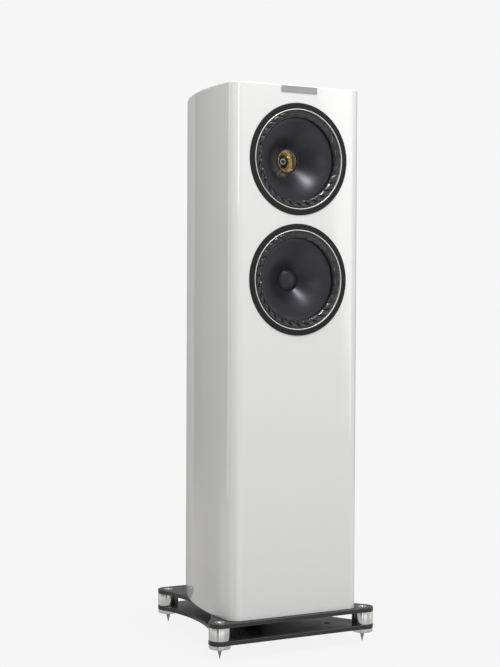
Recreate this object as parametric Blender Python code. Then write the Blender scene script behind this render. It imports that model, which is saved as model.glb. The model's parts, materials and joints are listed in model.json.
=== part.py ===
"""Two-way floorstanding speaker: curved cabinet, coaxial and bass drivers, lobed plinth on spikes.

Metres, +Z up. The speaker faces -Y, and left is -X. The origin is on the floor under the middle
of the plinth, level with the tips of the spikes. Depths inside the cabinet and inside a driver
are measured from the baffle's front face towards +Y.
"""

import math
from dataclasses import dataclass

import bmesh
import bpy
from mathutils import Matrix

# ---- Clearances ----
GAP = 0.0003  # between pieces that touch
RUNNING_GAP = 0.0004  # between a shaft and its hole

# ---- Roundness: sides of a turned piece, all multiples of 4 ----
SIDES_DRIVER = 32
SIDES_INNER = 24
SIDES_SMALL = 16
SIDES_TINY = 12

# ---- Cabinet ----
CABINET_HEIGHT = 1.040
CABINET_WIDTH = 0.292
CABINET_DEPTH = 0.338
REAR_WIDTH = 0.154  # where the curved sides meet the back
WIDEST_DEPTH = 0.053  # how far behind the baffle the cabinet is widest
FRONT_CORNER_RADIUS = 0.024
REAR_CORNER_RADIUS = 0.012
TOP_EDGE_RADIUS = 0.003
WALL = 0.018
REAR_PANEL_WIDTH = 0.088
BRACE_THICKNESS = 0.015
BRACE_BELOW_TOP = 0.540
BRACE_RIM = 0.030
BADGE_WIDTH, BADGE_HEIGHT, BADGE_THICKNESS = 0.080, 0.012, 0.0012
BADGE_BELOW_TOP = 0.008  # from the cabinet's top face to the badge's middle

# ---- Drivers ----
COAX_BELOW_TOP = 0.1435
BASS_BELOW_TOP = 0.3795
RIM_RADIUS = 0.1095
RIM_PROUD = 0.002  # how far the trim ring stands out of the baffle
RIM_EDGE_RADIUS = 0.0012
RIM_INNER_RADIUS = 0.0965
FLANGE_INNER_RADIUS = 0.092
FLANGE_THICKNESS = 0.0044
REBATE_DEPTH = 0.008
BAFFLE_HOLE_RADIUS = 0.098
LIP_THICKNESS = 0.0015
ROLL_OUTER_RADIUS, ROLL_INNER_RADIUS = 0.0947, 0.0806
ROLL_HEIGHT = 0.006
RUBBER_THICKNESS = 0.0012
CONE_RADIUS = 0.0796
CONE_EDGE_DEPTH = 0.0075
CONE_THICKNESS = 0.0010
CONE_CURVE = 1.5  # above 1 the cone gets steeper towards its neck
BASKET_THICKNESS = 0.003
BASKET_WINDOWS = 6
BASKET_WINDOW_WIDTH = 0.040
SHELF_WIDTH = 0.009
SHELF_RADIUS = 0.060
MOTOR_SEAT_HEIGHT = 0.010
MOTOR_PLATE_THICKNESS = 0.008
MOTOR_PLATE_RADIUS = 0.050
MAGNET_RADIUS, MAGNET_THICKNESS = 0.058, 0.0195
BACK_PLATE_RADIUS, BACK_PLATE_THICKNESS = 0.052, 0.007
COIL_THICKNESS = 0.0010
COIL_GAP = 0.0009  # between the coil and the steel on either side of it
SPIDER_BELOW_NECK = 0.0055
SPIDER_THICKNESS = 0.0008
SPIDER_FOLD = 0.003
CAP_RADIUS, CAP_HEIGHT, CAP_THICKNESS = 0.0215, 0.008, 0.0008

# ---- Horn and dome in the coaxial driver's throat ----
HORN_MOUTH_RADIUS = 0.0205
HORN_WALL = 0.0009
HORN_BEHIND_BAFFLE = 0.0465
HORN_LENGTH = 0.019
HORN_THROAT_RADIUS = 0.0097
HORN_CURVE = 1.6
PLUG_RADIUS, PLUG_THICKNESS = 0.0076, 0.0020
PLUG_FINS = 3
PLUG_FIN_WIDTH = 0.0016
DOME_RADIUS, DOME_HEIGHT, DOME_THICKNESS = 0.0092, 0.0030, 0.0005
DOME_BEHIND_PLUG = 0.0010
HF_MAGNET_RADIUS, HF_MAGNET_THICKNESS = 0.0100, 0.0070
HF_MAGNET_BEHIND_DOME = 0.0012

# ---- Plinth and feet ----
PLINTH_FRONT_LIP = 0.0081
PLINTH_REAR_LEDGE = 0.0419
FRONT_FOOT_OUTREACH = 0.017  # past the cabinet's widest half
REAR_FOOT_OUTREACH = 0.032  # past the half width of the back
LOBE_RADIUS = 0.022
WAIST_RADIUS = 0.345  # of the concave sides of the plates
PLATE_THICKNESS = 0.0085
COLUMN_RADIUS, COLUMN_BORE, COLUMN_HEIGHT = 0.0216, 0.0120, 0.0250
SPIKE_EXPOSED = 0.0198
SPIKE_RADIUS, SPIKE_POINT, SPIKE_TIP_RADIUS = 0.00425, 0.015, 0.0005
LOCK_WHEEL_RADIUS, LOCK_WHEEL_THICKNESS = 0.0210, 0.0080
ADJUSTER_RADIUS, ADJUSTER_SLEEVE_RADIUS = 0.0102, 0.0075
ADJUSTER_WEB = 0.0056  # solid top above the spike's bore
ADJUSTER_ROOM = 0.004  # between the spike's top and the end of the bore
HEX_SOCKET_RADIUS, HEX_SOCKET_DEPTH = 0.0034, 0.003
ACCESS_HOLE_RADIUS = 0.0065
ACCESS_HOLE_INSET_Y = 0.0306  # from a foot's axis towards the middle
ACCESS_HOLE_INSET_X = 0.065

# ---- Port ----
PORT_RADIUS, PORT_WALL, PORT_LENGTH = 0.030, 0.003, 0.150
PORT_FLARE = 0.007
PORT_Y = -0.010
DIFFUSER_RADIUS, DIFFUSER_HEIGHT = 0.040, 0.020

# ---- Terminals and crossover ----
TERMINAL_BELOW_TOP = 0.781
TERMINAL_WIDTH, TERMINAL_HEIGHT, TERMINAL_THICKNESS = 0.076, 0.096, 0.004
TERMINAL_WINDOW = 0.056
POST_PITCH = 0.038
POST_RADIUS, POST_COLLAR_RADIUS, POST_COLLAR = 0.003, 0.0068, 0.003
POST_INNER_LENGTH, POST_OUTER_LENGTH = 0.024, 0.0195
NUT_RADIUS, NUT_LENGTH, NUT_LIFT = 0.0075, 0.0125, 0.0015
BOARD_WIDTH, BOARD_HEIGHT, BOARD_THICKNESS = 0.080, 0.140, 0.0016
BOARD_BELOW_TOP, BOARD_STANDOFF = 0.660, 0.008
INDUCTOR_RADIUS, INDUCTOR_BORE, INDUCTOR_LENGTH = 0.022, 0.010, 0.018
CAPACITOR_RADIUS, CAPACITOR_LENGTH = 0.011, 0.042

# ---- Derived heights, from the floor up ----
LOCK_WHEEL_Z = SPIKE_EXPOSED
LOWER_PLATE_Z = LOCK_WHEEL_Z + LOCK_WHEEL_THICKNESS + GAP
COLUMN_Z = LOWER_PLATE_Z + PLATE_THICKNESS + GAP
TOP_PLATE_Z = COLUMN_Z + COLUMN_HEIGHT + GAP
CABINET_Z = TOP_PLATE_Z + PLATE_THICKNESS + GAP
CABINET_TOP = CABINET_Z + CABINET_HEIGHT

# ---- Derived plan ----
PLINTH_DEPTH = PLINTH_FRONT_LIP + CABINET_DEPTH + PLINTH_REAR_LEDGE
BAFFLE_Y = -PLINTH_DEPTH / 2 + PLINTH_FRONT_LIP
FOOT_Y = PLINTH_DEPTH / 2 - LOBE_RADIUS
FRONT_FOOT_X = CABINET_WIDTH / 2 + FRONT_FOOT_OUTREACH
REAR_FOOT_X = REAR_WIDTH / 2 + REAR_FOOT_OUTREACH
REAR_BULGE = (CABINET_WIDTH - REAR_WIDTH) / 2
SIDE_RADIUS = ((CABINET_DEPTH - WIDEST_DEPTH) ** 2 + REAR_BULGE**2) / (2 * REAR_BULGE)
FEET = {
    "front_left": (-FRONT_FOOT_X, -FOOT_Y),
    "front_right": (FRONT_FOOT_X, -FOOT_Y),
    "rear_left": (-REAR_FOOT_X, FOOT_Y),
    "rear_right": (REAR_FOOT_X, FOOT_Y),
}


@dataclass(frozen=True)
class Driver:
    """Sizes that differ between the two drivers."""

    name: str
    centre_z: float
    neck_depth: float
    coil_radius: float

    @property
    def neck_radius(self):
        return self.coil_radius + COIL_THICKNESS / 2 + GAP

    @property
    def pole_radius(self):
        return self.coil_radius - COIL_THICKNESS / 2 - COIL_GAP

    @property
    def gap_radius(self):
        """Bore of the motor's front plate, outside the coil."""
        return self.coil_radius + COIL_THICKNESS / 2 + COIL_GAP

    @property
    def spider_depth(self):
        return self.neck_depth + SPIDER_BELOW_NECK

    @property
    def shelf_depth(self):
        return self.spider_depth + SPIDER_THICKNESS + GAP

    @property
    def motor_depth(self):
        return self.shelf_depth + MOTOR_SEAT_HEIGHT + GAP

    @property
    def back_plate_depth(self):
        return self.motor_depth + MOTOR_PLATE_THICKNESS + GAP + MAGNET_THICKNESS + GAP

    def cone_depth(self, radius):
        """Depth of the cone's front face at a radius."""
        share = (CONE_RADIUS - radius) / (CONE_RADIUS - self.neck_radius)
        return CONE_EDGE_DEPTH + (self.neck_depth - CONE_EDGE_DEPTH) * share**CONE_CURVE


COAX = Driver("coax", CABINET_TOP - COAX_BELOW_TOP, neck_depth=0.044, coil_radius=0.0238)
BASS = Driver("bass", CABINET_TOP - BASS_BELOW_TOP, neck_depth=0.0415, coil_radius=0.0193)


# ---- Materials: colour, roughness, metallic ----
FINISHES = {
    "white_lacquer": ((0.80, 0.80, 0.80), 0.08, 0.0),
    "raw_board": ((0.42, 0.33, 0.22), 0.80, 0.0),
    "satin_ring": ((0.045, 0.043, 0.042), 0.35, 0.4),
    "rubber": ((0.012, 0.012, 0.014), 0.45, 0.0),
    "cone_metal": ((0.035, 0.037, 0.045), 0.38, 0.7),
    "cast_basket": ((0.10, 0.10, 0.10), 0.55, 0.8),
    "copper": ((0.60, 0.28, 0.12), 0.35, 1.0),
    "spider_cloth": ((0.45, 0.30, 0.10), 0.90, 0.0),
    "steel": ((0.35, 0.35, 0.36), 0.40, 1.0),
    "ferrite": ((0.04, 0.04, 0.045), 0.60, 0.0),
    "gold": ((0.66, 0.45, 0.20), 0.25, 1.0),
    "black_plastic": ((0.015, 0.015, 0.015), 0.40, 0.0),
    "dome_metal": ((0.55, 0.55, 0.57), 0.25, 1.0),
    "plinth_black": ((0.018, 0.018, 0.020), 0.35, 0.3),
    "aluminium": ((0.75, 0.75, 0.76), 0.18, 1.0),
    "badge_silver": ((0.50, 0.50, 0.52), 0.30, 1.0),
    "circuit_board": ((0.02, 0.10, 0.05), 0.50, 0.0),
    "capacitor_film": ((0.05, 0.12, 0.30), 0.40, 0.0),
}


def make_material(name):
    colour, roughness, metallic = FINISHES[name]
    material = bpy.data.materials.new(name)
    material.use_nodes = True
    shader = material.node_tree.nodes["Principled BSDF"]
    shader.inputs["Base Color"].default_value = (*colour, 1.0)
    shader.inputs["Roughness"].default_value = roughness
    shader.inputs["Metallic"].default_value = metallic
    return material


def clear_scene():
    for obj in list(bpy.data.objects):
        bpy.data.objects.remove(obj)


def add_empty(name, location, rotation=(0.0, 0.0, 0.0)):
    empty = bpy.data.objects.new(name, None)
    empty.location = location
    empty.rotation_euler = rotation
    bpy.context.scene.collection.objects.link(empty)
    return empty


def add_object(name, bm, finish, parent=None, location=(0.0, 0.0, 0.0), rotation=(0.0, 0.0, 0.0)):
    """Turn a bmesh into a named object, closed and facing out, flat or round by angle."""
    bmesh.ops.recalc_face_normals(bm, faces=bm.faces)
    mesh = bpy.data.meshes.new(name)
    bm.to_mesh(mesh)
    bm.free()
    mesh.shade_smooth()
    mesh.set_sharp_from_angle(angle=math.radians(35))
    mesh.materials.append(bpy.data.materials.get(finish) or make_material(finish))
    obj = bpy.data.objects.new(name, mesh)
    obj.parent = parent
    obj.location = location
    obj.rotation_euler = rotation
    bpy.context.scene.collection.objects.link(obj)
    return obj


def cut(target, name, bm, parent=None, location=(0.0, 0.0, 0.0)):
    """Cut a shape out of an object with a Boolean modifier and a hidden cutter."""
    cutter = add_object(name, bm, "steel", parent, location)
    cutter.hide_render = True
    cutter.display_type = "WIRE"
    modifier = target.modifiers.new(name, "BOOLEAN")
    modifier.operation = "DIFFERENCE"
    modifier.solver = "EXACT"
    modifier.object = cutter
    return cutter


# ---- Shapes ----
def arc(centre, radius, start, end, steps):
    """Points of an arc in plan, both ends included; angles in radians."""
    points = []
    for i in range(steps + 1):
        angle = start + (end - start) * i / steps
        points.append((centre[0] + radius * math.cos(angle), centre[1] + radius * math.sin(angle)))
    return points


def mirrored_loop(half):
    """Close a right-hand half outline, given from the front to the back, with its mirror."""
    return half + [(-x, y) for x, y in reversed(half)]


def extruded(outline, bottom, top):
    """A prism on a closed outline in plan."""
    bm = bmesh.new()
    face = bm.faces.new([bm.verts.new((x, y, bottom)) for x, y in outline])
    grown = bmesh.ops.extrude_face_region(bm, geom=[face])
    top_verts = [v for v in grown["geom"] if isinstance(v, bmesh.types.BMVert)]
    bmesh.ops.translate(bm, verts=top_verts, vec=(0.0, 0.0, top - bottom))
    return bm


def box(size, centre):
    bm = bmesh.new()
    bmesh.ops.create_cube(bm, size=1.0)
    bmesh.ops.scale(bm, vec=size, verts=bm.verts)
    bmesh.ops.translate(bm, vec=centre, verts=bm.verts)
    return bm


def turned(profile, sides):
    """Turn a closed outline of (radius, height) points about Z; points on the axis are merged."""
    bm = bmesh.new()
    verts = [bm.verts.new((radius, 0.0, height)) for radius, height in profile]
    edges = [bm.edges.new((a, b)) for a, b in zip(verts, verts[1:] + verts[:1])]
    hidden = [e for e in edges if all(abs(v.co.x) < 1e-9 for v in e.verts)]
    for edge in hidden:
        bm.edges.remove(edge)
    bmesh.ops.spin(
        bm,
        geom=list(bm.verts) + list(bm.edges),
        axis=(0.0, 0.0, 1.0),
        cent=(0.0, 0.0, 0.0),
        angle=2 * math.pi,
        steps=sides,
        use_merge=True,
    )
    bmesh.ops.remove_doubles(bm, verts=bm.verts, dist=1e-6)
    return bm


def turned_back(profile, sides):
    """Turn an outline of (radius, depth) points; depth runs back from the baffle, along -Z here."""
    return turned([(radius, -depth) for radius, depth in profile], sides)


def cylinders(places, radius, bottom, top, sides):
    """Separate upright cylinders at places in plan, for cutting holes."""
    bm = bmesh.new()
    for x, y in places:
        middle = Matrix.Translation((x, y, (bottom + top) / 2))
        bmesh.ops.create_cone(
            bm,
            cap_ends=True,
            segments=sides,
            radius1=radius,
            radius2=radius,
            depth=top - bottom,
            matrix=middle,
        )
    return bm


# ---- Cabinet ----
def corner_on_side(corner_radius, corner_depth, side_radius):
    """How far across from the side's centre a corner that touches the side is, and its angle."""
    from_widest = corner_depth - WIDEST_DEPTH
    across = math.sqrt((side_radius - corner_radius) ** 2 - from_widest**2)
    return across, math.atan2(from_widest, across)


def cabinet_outline(inset):
    """The cabinet's plan, moved in by an inset: flat baffle, round corners, bowed sides, flat back."""
    side_x = CABINET_WIDTH / 2 - SIDE_RADIUS
    side_radius = SIDE_RADIUS - inset
    front_radius = max(FRONT_CORNER_RADIUS - inset, 0.0)
    front_depth = inset + front_radius
    front_across, front_angle = corner_on_side(front_radius, front_depth, side_radius)
    rear_radius = max(REAR_CORNER_RADIUS - inset, 0.0)
    rear_depth = CABINET_DEPTH - inset - rear_radius
    rear_across, rear_angle = corner_on_side(rear_radius, rear_depth, side_radius)
    half = arc((side_x, WIDEST_DEPTH), side_radius, front_angle, rear_angle, 10)
    if front_radius > 0:
        centre = (side_x + front_across, front_depth)
        half = arc(centre, front_radius, -math.pi / 2, front_angle, 5)[:-1] + half
    if rear_radius > 0:
        centre = (side_x + rear_across, rear_depth)
        half += arc(centre, rear_radius, rear_angle, math.pi / 2, 3)[1:]
    return mirrored_loop([(x, BAFFLE_Y + depth) for x, depth in half])


def build_cabinet(driver_axes):
    shell_bm = extruded(cabinet_outline(0.0), CABINET_Z, CABINET_TOP)
    top_edges = [e for e in shell_bm.edges if all(v.co.z > CABINET_TOP - GAP for v in e.verts)]
    bmesh.ops.bevel(
        shell_bm, geom=top_edges, offset=TOP_EDGE_RADIUS, segments=2, profile=0.5, affect="EDGES"
    )
    shell = add_object("cabinet_shell", shell_bm, "white_lacquer")
    below = CABINET_Z - WALL
    ceiling = CABINET_TOP - WALL
    cut(shell, "cavity_cutter", extruded(cabinet_outline(WALL), below, ceiling))
    back_y = BAFFLE_Y + CABINET_DEPTH
    slot_size = (REAR_PANEL_WIDTH + 2 * GAP, 3 * WALL, ceiling - below)
    cut(shell, "rear_slot_cutter", box(slot_size, (0.0, back_y, (ceiling + below) / 2)))
    rebate = [
        (0.0, -WALL),
        (RIM_RADIUS + GAP, -WALL),
        (RIM_RADIUS + GAP, REBATE_DEPTH),
        (BAFFLE_HOLE_RADIUS, REBATE_DEPTH),
        (BAFFLE_HOLE_RADIUS, 2 * WALL),
        (0.0, 2 * WALL),
    ]
    for driver, axis in driver_axes:
        cut(shell, f"{driver.name}_hole_cutter", turned_back(rebate, SIDES_DRIVER), axis)

    inner = cabinet_outline(WALL + GAP)
    bottom = add_object("bottom_panel", extruded(inner, CABINET_Z, CABINET_Z + WALL), "raw_board")
    port_hole = cylinders(
        [(0.0, PORT_Y)], PORT_RADIUS + PORT_WALL + GAP, below, CABINET_Z + 2 * WALL, SIDES_INNER
    )
    cut(bottom, "port_hole_cutter", port_hole)

    brace_z = CABINET_TOP - BRACE_BELOW_TOP
    brace = add_object(
        "internal_brace", extruded(inner, brace_z, brace_z + BRACE_THICKNESS), "raw_board"
    )
    window = extruded(
        cabinet_outline(WALL + BRACE_RIM), brace_z - WALL, brace_z + BRACE_THICKNESS + WALL
    )
    cut(brace, "brace_window_cutter", window)

    panel_top = ceiling - GAP
    rear = box(
        (REAR_PANEL_WIDTH, WALL, panel_top - CABINET_Z),
        (0.0, back_y - WALL / 2, (panel_top + CABINET_Z) / 2),
    )
    rear = add_object("rear_panel", rear, "white_lacquer")
    opening = box(
        (TERMINAL_WINDOW, 3 * WALL, TERMINAL_WINDOW),
        (0.0, back_y, CABINET_TOP - TERMINAL_BELOW_TOP),
    )
    cut(rear, "terminal_window_cutter", opening)

    badge_middle = (
        0.0,
        BAFFLE_Y - GAP - BADGE_THICKNESS / 2,
        CABINET_TOP - BADGE_BELOW_TOP,
    )
    add_object("badge", box((BADGE_WIDTH, BADGE_THICKNESS, BADGE_HEIGHT), badge_middle), "badge_silver")


# ---- Drivers ----
def roll_points(base_offset, shrink, steps=5):
    """The surround's half roll from its outer to its inner edge, on one of its two faces."""
    middle = (ROLL_OUTER_RADIUS + ROLL_INNER_RADIUS) / 2
    half_width = (ROLL_OUTER_RADIUS - ROLL_INNER_RADIUS) / 2 - shrink
    outer_base = LIP_THICKNESS + base_offset
    inner_base = CONE_EDGE_DEPTH - RUBBER_THICKNESS + base_offset
    points = []
    for i in range(steps + 1):
        share = i / steps
        base = outer_base + (inner_base - outer_base) * share
        rise = (ROLL_HEIGHT - shrink) * math.sin(math.pi * share)
        points.append((middle + half_width * math.cos(math.pi * share), base - rise))
    return points


def surround_profile():
    lip_radius = RIM_INNER_RADIUS - GAP
    flange_front = REBATE_DEPTH - GAP - FLANGE_THICKNESS
    inner_edge = CONE_RADIUS + GAP
    front = roll_points(0.0, 0.0)
    back = roll_points(RUBBER_THICKNESS, RUBBER_THICKNESS)
    back_inner = (inner_edge, back[-1][1])
    lip_back = flange_front - GAP
    return (
        [(lip_radius, LIP_THICKNESS)]
        + front
        + [(inner_edge, front[-1][1]), back_inner]
        + list(reversed(back))
        + [(back[0][0], lip_back), (lip_radius, lip_back)]
    )


def cone_profile(driver, steps=5):
    neck = driver.neck_radius
    radii = [CONE_RADIUS + (neck - CONE_RADIUS) * i / steps for i in range(steps + 1)]
    front = [(radius, driver.cone_depth(radius)) for radius in radii]
    return front + [(radius, depth + CONE_THICKNESS) for radius, depth in reversed(front)]


def basket_profile(driver):
    flange_front = REBATE_DEPTH - GAP - FLANGE_THICKNESS
    flange_back = REBATE_DEPTH - GAP
    wall_outer = BAFFLE_HOLE_RADIUS - 5 * GAP
    wall_inner = wall_outer - BASKET_THICKNESS
    straight = WALL + 5 * GAP
    shelf = driver.shelf_depth
    seat = shelf + MOTOR_SEAT_HEIGHT
    shelf_inner = SHELF_RADIUS - BASKET_THICKNESS - SHELF_WIDTH
    bore = driver.gap_radius + BASKET_THICKNESS
    return [
        (FLANGE_INNER_RADIUS, flange_front),
        (RIM_RADIUS, flange_front),
        (RIM_RADIUS, flange_back),
        (wall_outer, flange_back),
        (wall_outer, straight),
        (SHELF_RADIUS, shelf),
        (SHELF_RADIUS, seat),
        (bore, seat),
        (bore, seat - BASKET_THICKNESS),
        (shelf_inner, seat - BASKET_THICKNESS),
        (shelf_inner, shelf),
        (SHELF_RADIUS - BASKET_THICKNESS, shelf),
        (wall_inner, straight),
        (FLANGE_INNER_RADIUS, straight - BASKET_THICKNESS),
    ]


def basket_windows(driver):
    """Blocks that open the sloping wall of a basket between its spokes."""
    top = WALL + 4 * BASKET_THICKNESS / 2
    bottom = driver.shelf_depth - BASKET_THICKNESS
    bm = bmesh.new()
    for i in range(BASKET_WINDOWS):
        turn = Matrix.Rotation(2 * math.pi * (i + 0.5) / BASKET_WINDOWS, 4, "Z")
        reach = (SHELF_RADIUS + BAFFLE_HOLE_RADIUS) / 2
        place = turn @ Matrix.Translation((reach, 0.0, -(top + bottom) / 2))
        size = Matrix.Diagonal((SHELF_RADIUS, BASKET_WINDOW_WIDTH, bottom - top, 1.0))
        bmesh.ops.create_cube(bm, size=1.0, matrix=place @ size)
    return bm


def spider_profile(driver):
    inner = driver.neck_radius + GAP
    outer = SHELF_RADIUS - BASKET_THICKNESS - GAP
    flat = SHELF_RADIUS - BASKET_THICKNESS - SHELF_WIDTH
    depth = driver.spider_depth
    middle = (inner + flat) / 2
    front = [(outer, depth), (flat, depth), (middle, depth - SPIDER_FOLD), (inner, depth)]
    return front + [(radius, d + SPIDER_THICKNESS) for radius, d in reversed(front)]


def ring_profile(inner, outer, start, thickness):
    return [(inner, start), (outer, start), (outer, start + thickness), (inner, start + thickness)]


def trim_ring_profile():
    back = REBATE_DEPTH - 2 * GAP - FLANGE_THICKNESS
    edge = RIM_EDGE_RADIUS
    return [
        (RIM_INNER_RADIUS, -RIM_PROUD),
        (RIM_RADIUS - edge, -RIM_PROUD),
        (RIM_RADIUS, -RIM_PROUD + edge),
        (RIM_RADIUS, back),
        (RIM_INNER_RADIUS, back),
    ]


def build_driver(driver, axis):
    """The pieces that both drivers have."""
    name = driver.name
    trim = turned_back(trim_ring_profile(), SIDES_DRIVER)
    add_object(f"{name}_trim_ring", trim, "satin_ring", axis)
    basket = turned_back(basket_profile(driver), SIDES_DRIVER)
    basket = add_object(f"{name}_basket", basket, "cast_basket", axis)
    cut(basket, f"{name}_basket_cutter", basket_windows(driver), axis)
    surround = turned_back(surround_profile(), SIDES_DRIVER)
    add_object(f"{name}_surround", surround, "rubber", axis)
    spider = turned_back(spider_profile(driver), SIDES_INNER)
    add_object(f"{name}_spider", spider, "spider_cloth", axis)

    moving = add_empty(f"{name}_moving_axis", (0.0, 0.0, 0.0))
    moving.parent = axis
    cone = turned_back(cone_profile(driver), SIDES_DRIVER)
    add_object(f"{name}_cone", cone, "cone_metal", moving)
    coil_start = driver.neck_depth + GAP
    coil_end = driver.motor_depth + MOTOR_PLATE_THICKNESS + COIL_THICKNESS
    coil_inner = driver.coil_radius - COIL_THICKNESS / 2
    coil = ring_profile(
        coil_inner, coil_inner + COIL_THICKNESS, coil_start, coil_end - coil_start
    )
    add_object(f"{name}_voice_coil", turned_back(coil, SIDES_INNER), "copper", moving)

    plate = ring_profile(
        driver.gap_radius, MOTOR_PLATE_RADIUS, driver.motor_depth, MOTOR_PLATE_THICKNESS
    )
    add_object(f"{name}_front_plate", turned_back(plate, SIDES_INNER), "steel", axis)
    magnet_start = driver.motor_depth + MOTOR_PLATE_THICKNESS + GAP
    magnet = ring_profile(
        driver.gap_radius + BASKET_THICKNESS, MAGNET_RADIUS, magnet_start, MAGNET_THICKNESS
    )
    add_object(f"{name}_magnet", turned_back(magnet, SIDES_INNER), "ferrite", axis)
    return moving


def pole_profile(driver, pole_front, pocket_radius, pocket_depth):
    """The back plate with its pole, and a pocket in the pole's face where there is one."""
    back = driver.back_plate_depth
    end = back + BACK_PLATE_THICKNESS
    face = [(0.0, pole_front), (driver.pole_radius, pole_front)]
    if pocket_radius > 0:
        floor = pole_front + pocket_depth
        face = [
            (0.0, floor),
            (pocket_radius, floor),
            (pocket_radius, pole_front),
            (driver.pole_radius, pole_front),
        ]
    return face + [
        (driver.pole_radius, back),
        (BACK_PLATE_RADIUS, back),
        (BACK_PLATE_RADIUS, end),
        (0.0, end),
    ]


def shell_dome_profile(radius, height, thickness, base_depth, steps=4):
    """A thin dome whose open rim faces back."""
    sphere = (radius**2 + height**2) / (2 * height)
    half_angle = math.asin(radius / sphere)
    outer = []
    inner = []
    for i in range(steps + 1):
        angle = half_angle * (steps - i) / steps
        rise = sphere * math.cos(angle) - (sphere - height)
        outer.append((sphere * math.sin(angle), base_depth - rise))
        inner_sphere = sphere - thickness
        inner_rise = inner_sphere * math.cos(angle) - (sphere - height)
        inner.append((inner_sphere * math.sin(angle), base_depth - inner_rise))
    return outer + list(reversed(inner))


def horn_radius(depth):
    """Inner radius of the horn at a depth behind the baffle."""
    to_throat = max(HORN_BEHIND_BAFFLE + HORN_LENGTH - depth, 0.0) / HORN_LENGTH
    return HORN_THROAT_RADIUS + (HORN_MOUTH_RADIUS - HORN_THROAT_RADIUS) * to_throat**HORN_CURVE


def build_horn(axis):
    """The high-frequency unit: horn, phase plug, dome and magnet in the coaxial driver's pole."""
    end = HORN_BEHIND_BAFFLE + HORN_LENGTH
    steps = 4
    depths = [HORN_BEHIND_BAFFLE + HORN_LENGTH * i / steps for i in range(steps + 1)]
    outer = HORN_MOUTH_RADIUS + HORN_WALL
    horn = [(horn_radius(depth), depth) for depth in depths]
    horn += [(outer, end), (outer, HORN_BEHIND_BAFFLE)]
    add_object("horn_throat", turned_back(horn, SIDES_INNER), "gold", axis)

    plug_front = end - PLUG_THICKNESS - GAP
    fin_tip = HORN_THROAT_RADIUS * math.cos(math.pi / SIDES_INNER) - GAP
    outline = []
    fin_half = PLUG_FIN_WIDTH / 2
    for i in range(PLUG_FINS):
        middle = math.pi / 2 + 2 * math.pi * i / PLUG_FINS
        at_disc = math.asin(fin_half / PLUG_RADIUS)
        at_tip = math.asin(fin_half / fin_tip)
        outline += arc((0.0, 0.0), fin_tip, middle - at_tip, middle + at_tip, 1)
        next_fin = middle + 2 * math.pi / PLUG_FINS
        outline += arc((0.0, 0.0), PLUG_RADIUS, middle + at_disc, next_fin - at_disc, 5)
    plug = extruded(outline, -(plug_front + PLUG_THICKNESS), -plug_front)
    add_object("phase_plug", plug, "black_plastic", axis)

    dome_base = plug_front + PLUG_THICKNESS + DOME_BEHIND_PLUG + DOME_HEIGHT
    dome_axis = add_empty("hf_moving_axis", (0.0, 0.0, 0.0))
    dome_axis.parent = axis
    dome = shell_dome_profile(DOME_RADIUS, DOME_HEIGHT, DOME_THICKNESS, dome_base)
    add_object("hf_dome", turned_back(dome, SIDES_SMALL), "dome_metal", dome_axis)

    magnet_start = dome_base + HF_MAGNET_BEHIND_DOME
    magnet = ring_profile(0.0, HF_MAGNET_RADIUS, magnet_start, HF_MAGNET_THICKNESS)
    add_object("hf_magnet", turned_back(magnet, SIDES_SMALL), "steel", axis)

    pole_front = end + GAP
    pocket_depth = magnet_start + HF_MAGNET_THICKNESS + GAP - pole_front
    pocket_radius = HF_MAGNET_RADIUS + 3 * GAP
    pole = pole_profile(COAX, pole_front, pocket_radius, pocket_depth)
    add_object("coax_pole_plate", turned_back(pole, SIDES_INNER), "steel", axis)


def build_bass_centre(axis, moving):
    pole = pole_profile(BASS, BASS.motor_depth, 0.0, 0.0)
    add_object("bass_pole_plate", turned_back(pole, SIDES_INNER), "steel", axis)
    base = BASS.cone_depth(CAP_RADIUS) - 2 * GAP
    cap = shell_dome_profile(CAP_RADIUS, CAP_HEIGHT, CAP_THICKNESS, base)
    add_object("bass_dust_cap", turned_back(cap, SIDES_INNER), "cone_metal", moving)


# ---- Plinth, feet and port ----
def plinth_outline():
    """A plate with a round lobe at each foot, a straight front and back, and concave sides."""
    front = (FRONT_FOOT_X, -FOOT_Y)
    rear = (REAR_FOOT_X, FOOT_Y)
    across, along = rear[0] - front[0], rear[1] - front[1]
    half = math.hypot(across, along) / 2
    normal = (along / (2 * half), -across / (2 * half))
    reach = math.sqrt((WAIST_RADIUS + LOBE_RADIUS) ** 2 - half**2)
    waist = ((front[0] + rear[0]) / 2 + normal[0] * reach, (front[1] + rear[1]) / 2 + normal[1] * reach)
    to_front = math.atan2(front[1] - waist[1], front[0] - waist[0])
    to_rear = math.atan2(rear[1] - waist[1], rear[0] - waist[0])
    if to_rear < 0:
        to_rear += 2 * math.pi
    if to_front < 0:
        to_front += 2 * math.pi
    outline = arc(front, LOBE_RADIUS, -math.pi / 2, to_front - math.pi, 8)
    outline += arc(waist, WAIST_RADIUS, to_front, to_rear, 8)[1:-1]
    outline += arc(rear, LOBE_RADIUS, to_rear - math.pi, math.pi / 2, 8)
    return mirrored_loop(outline)


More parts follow.
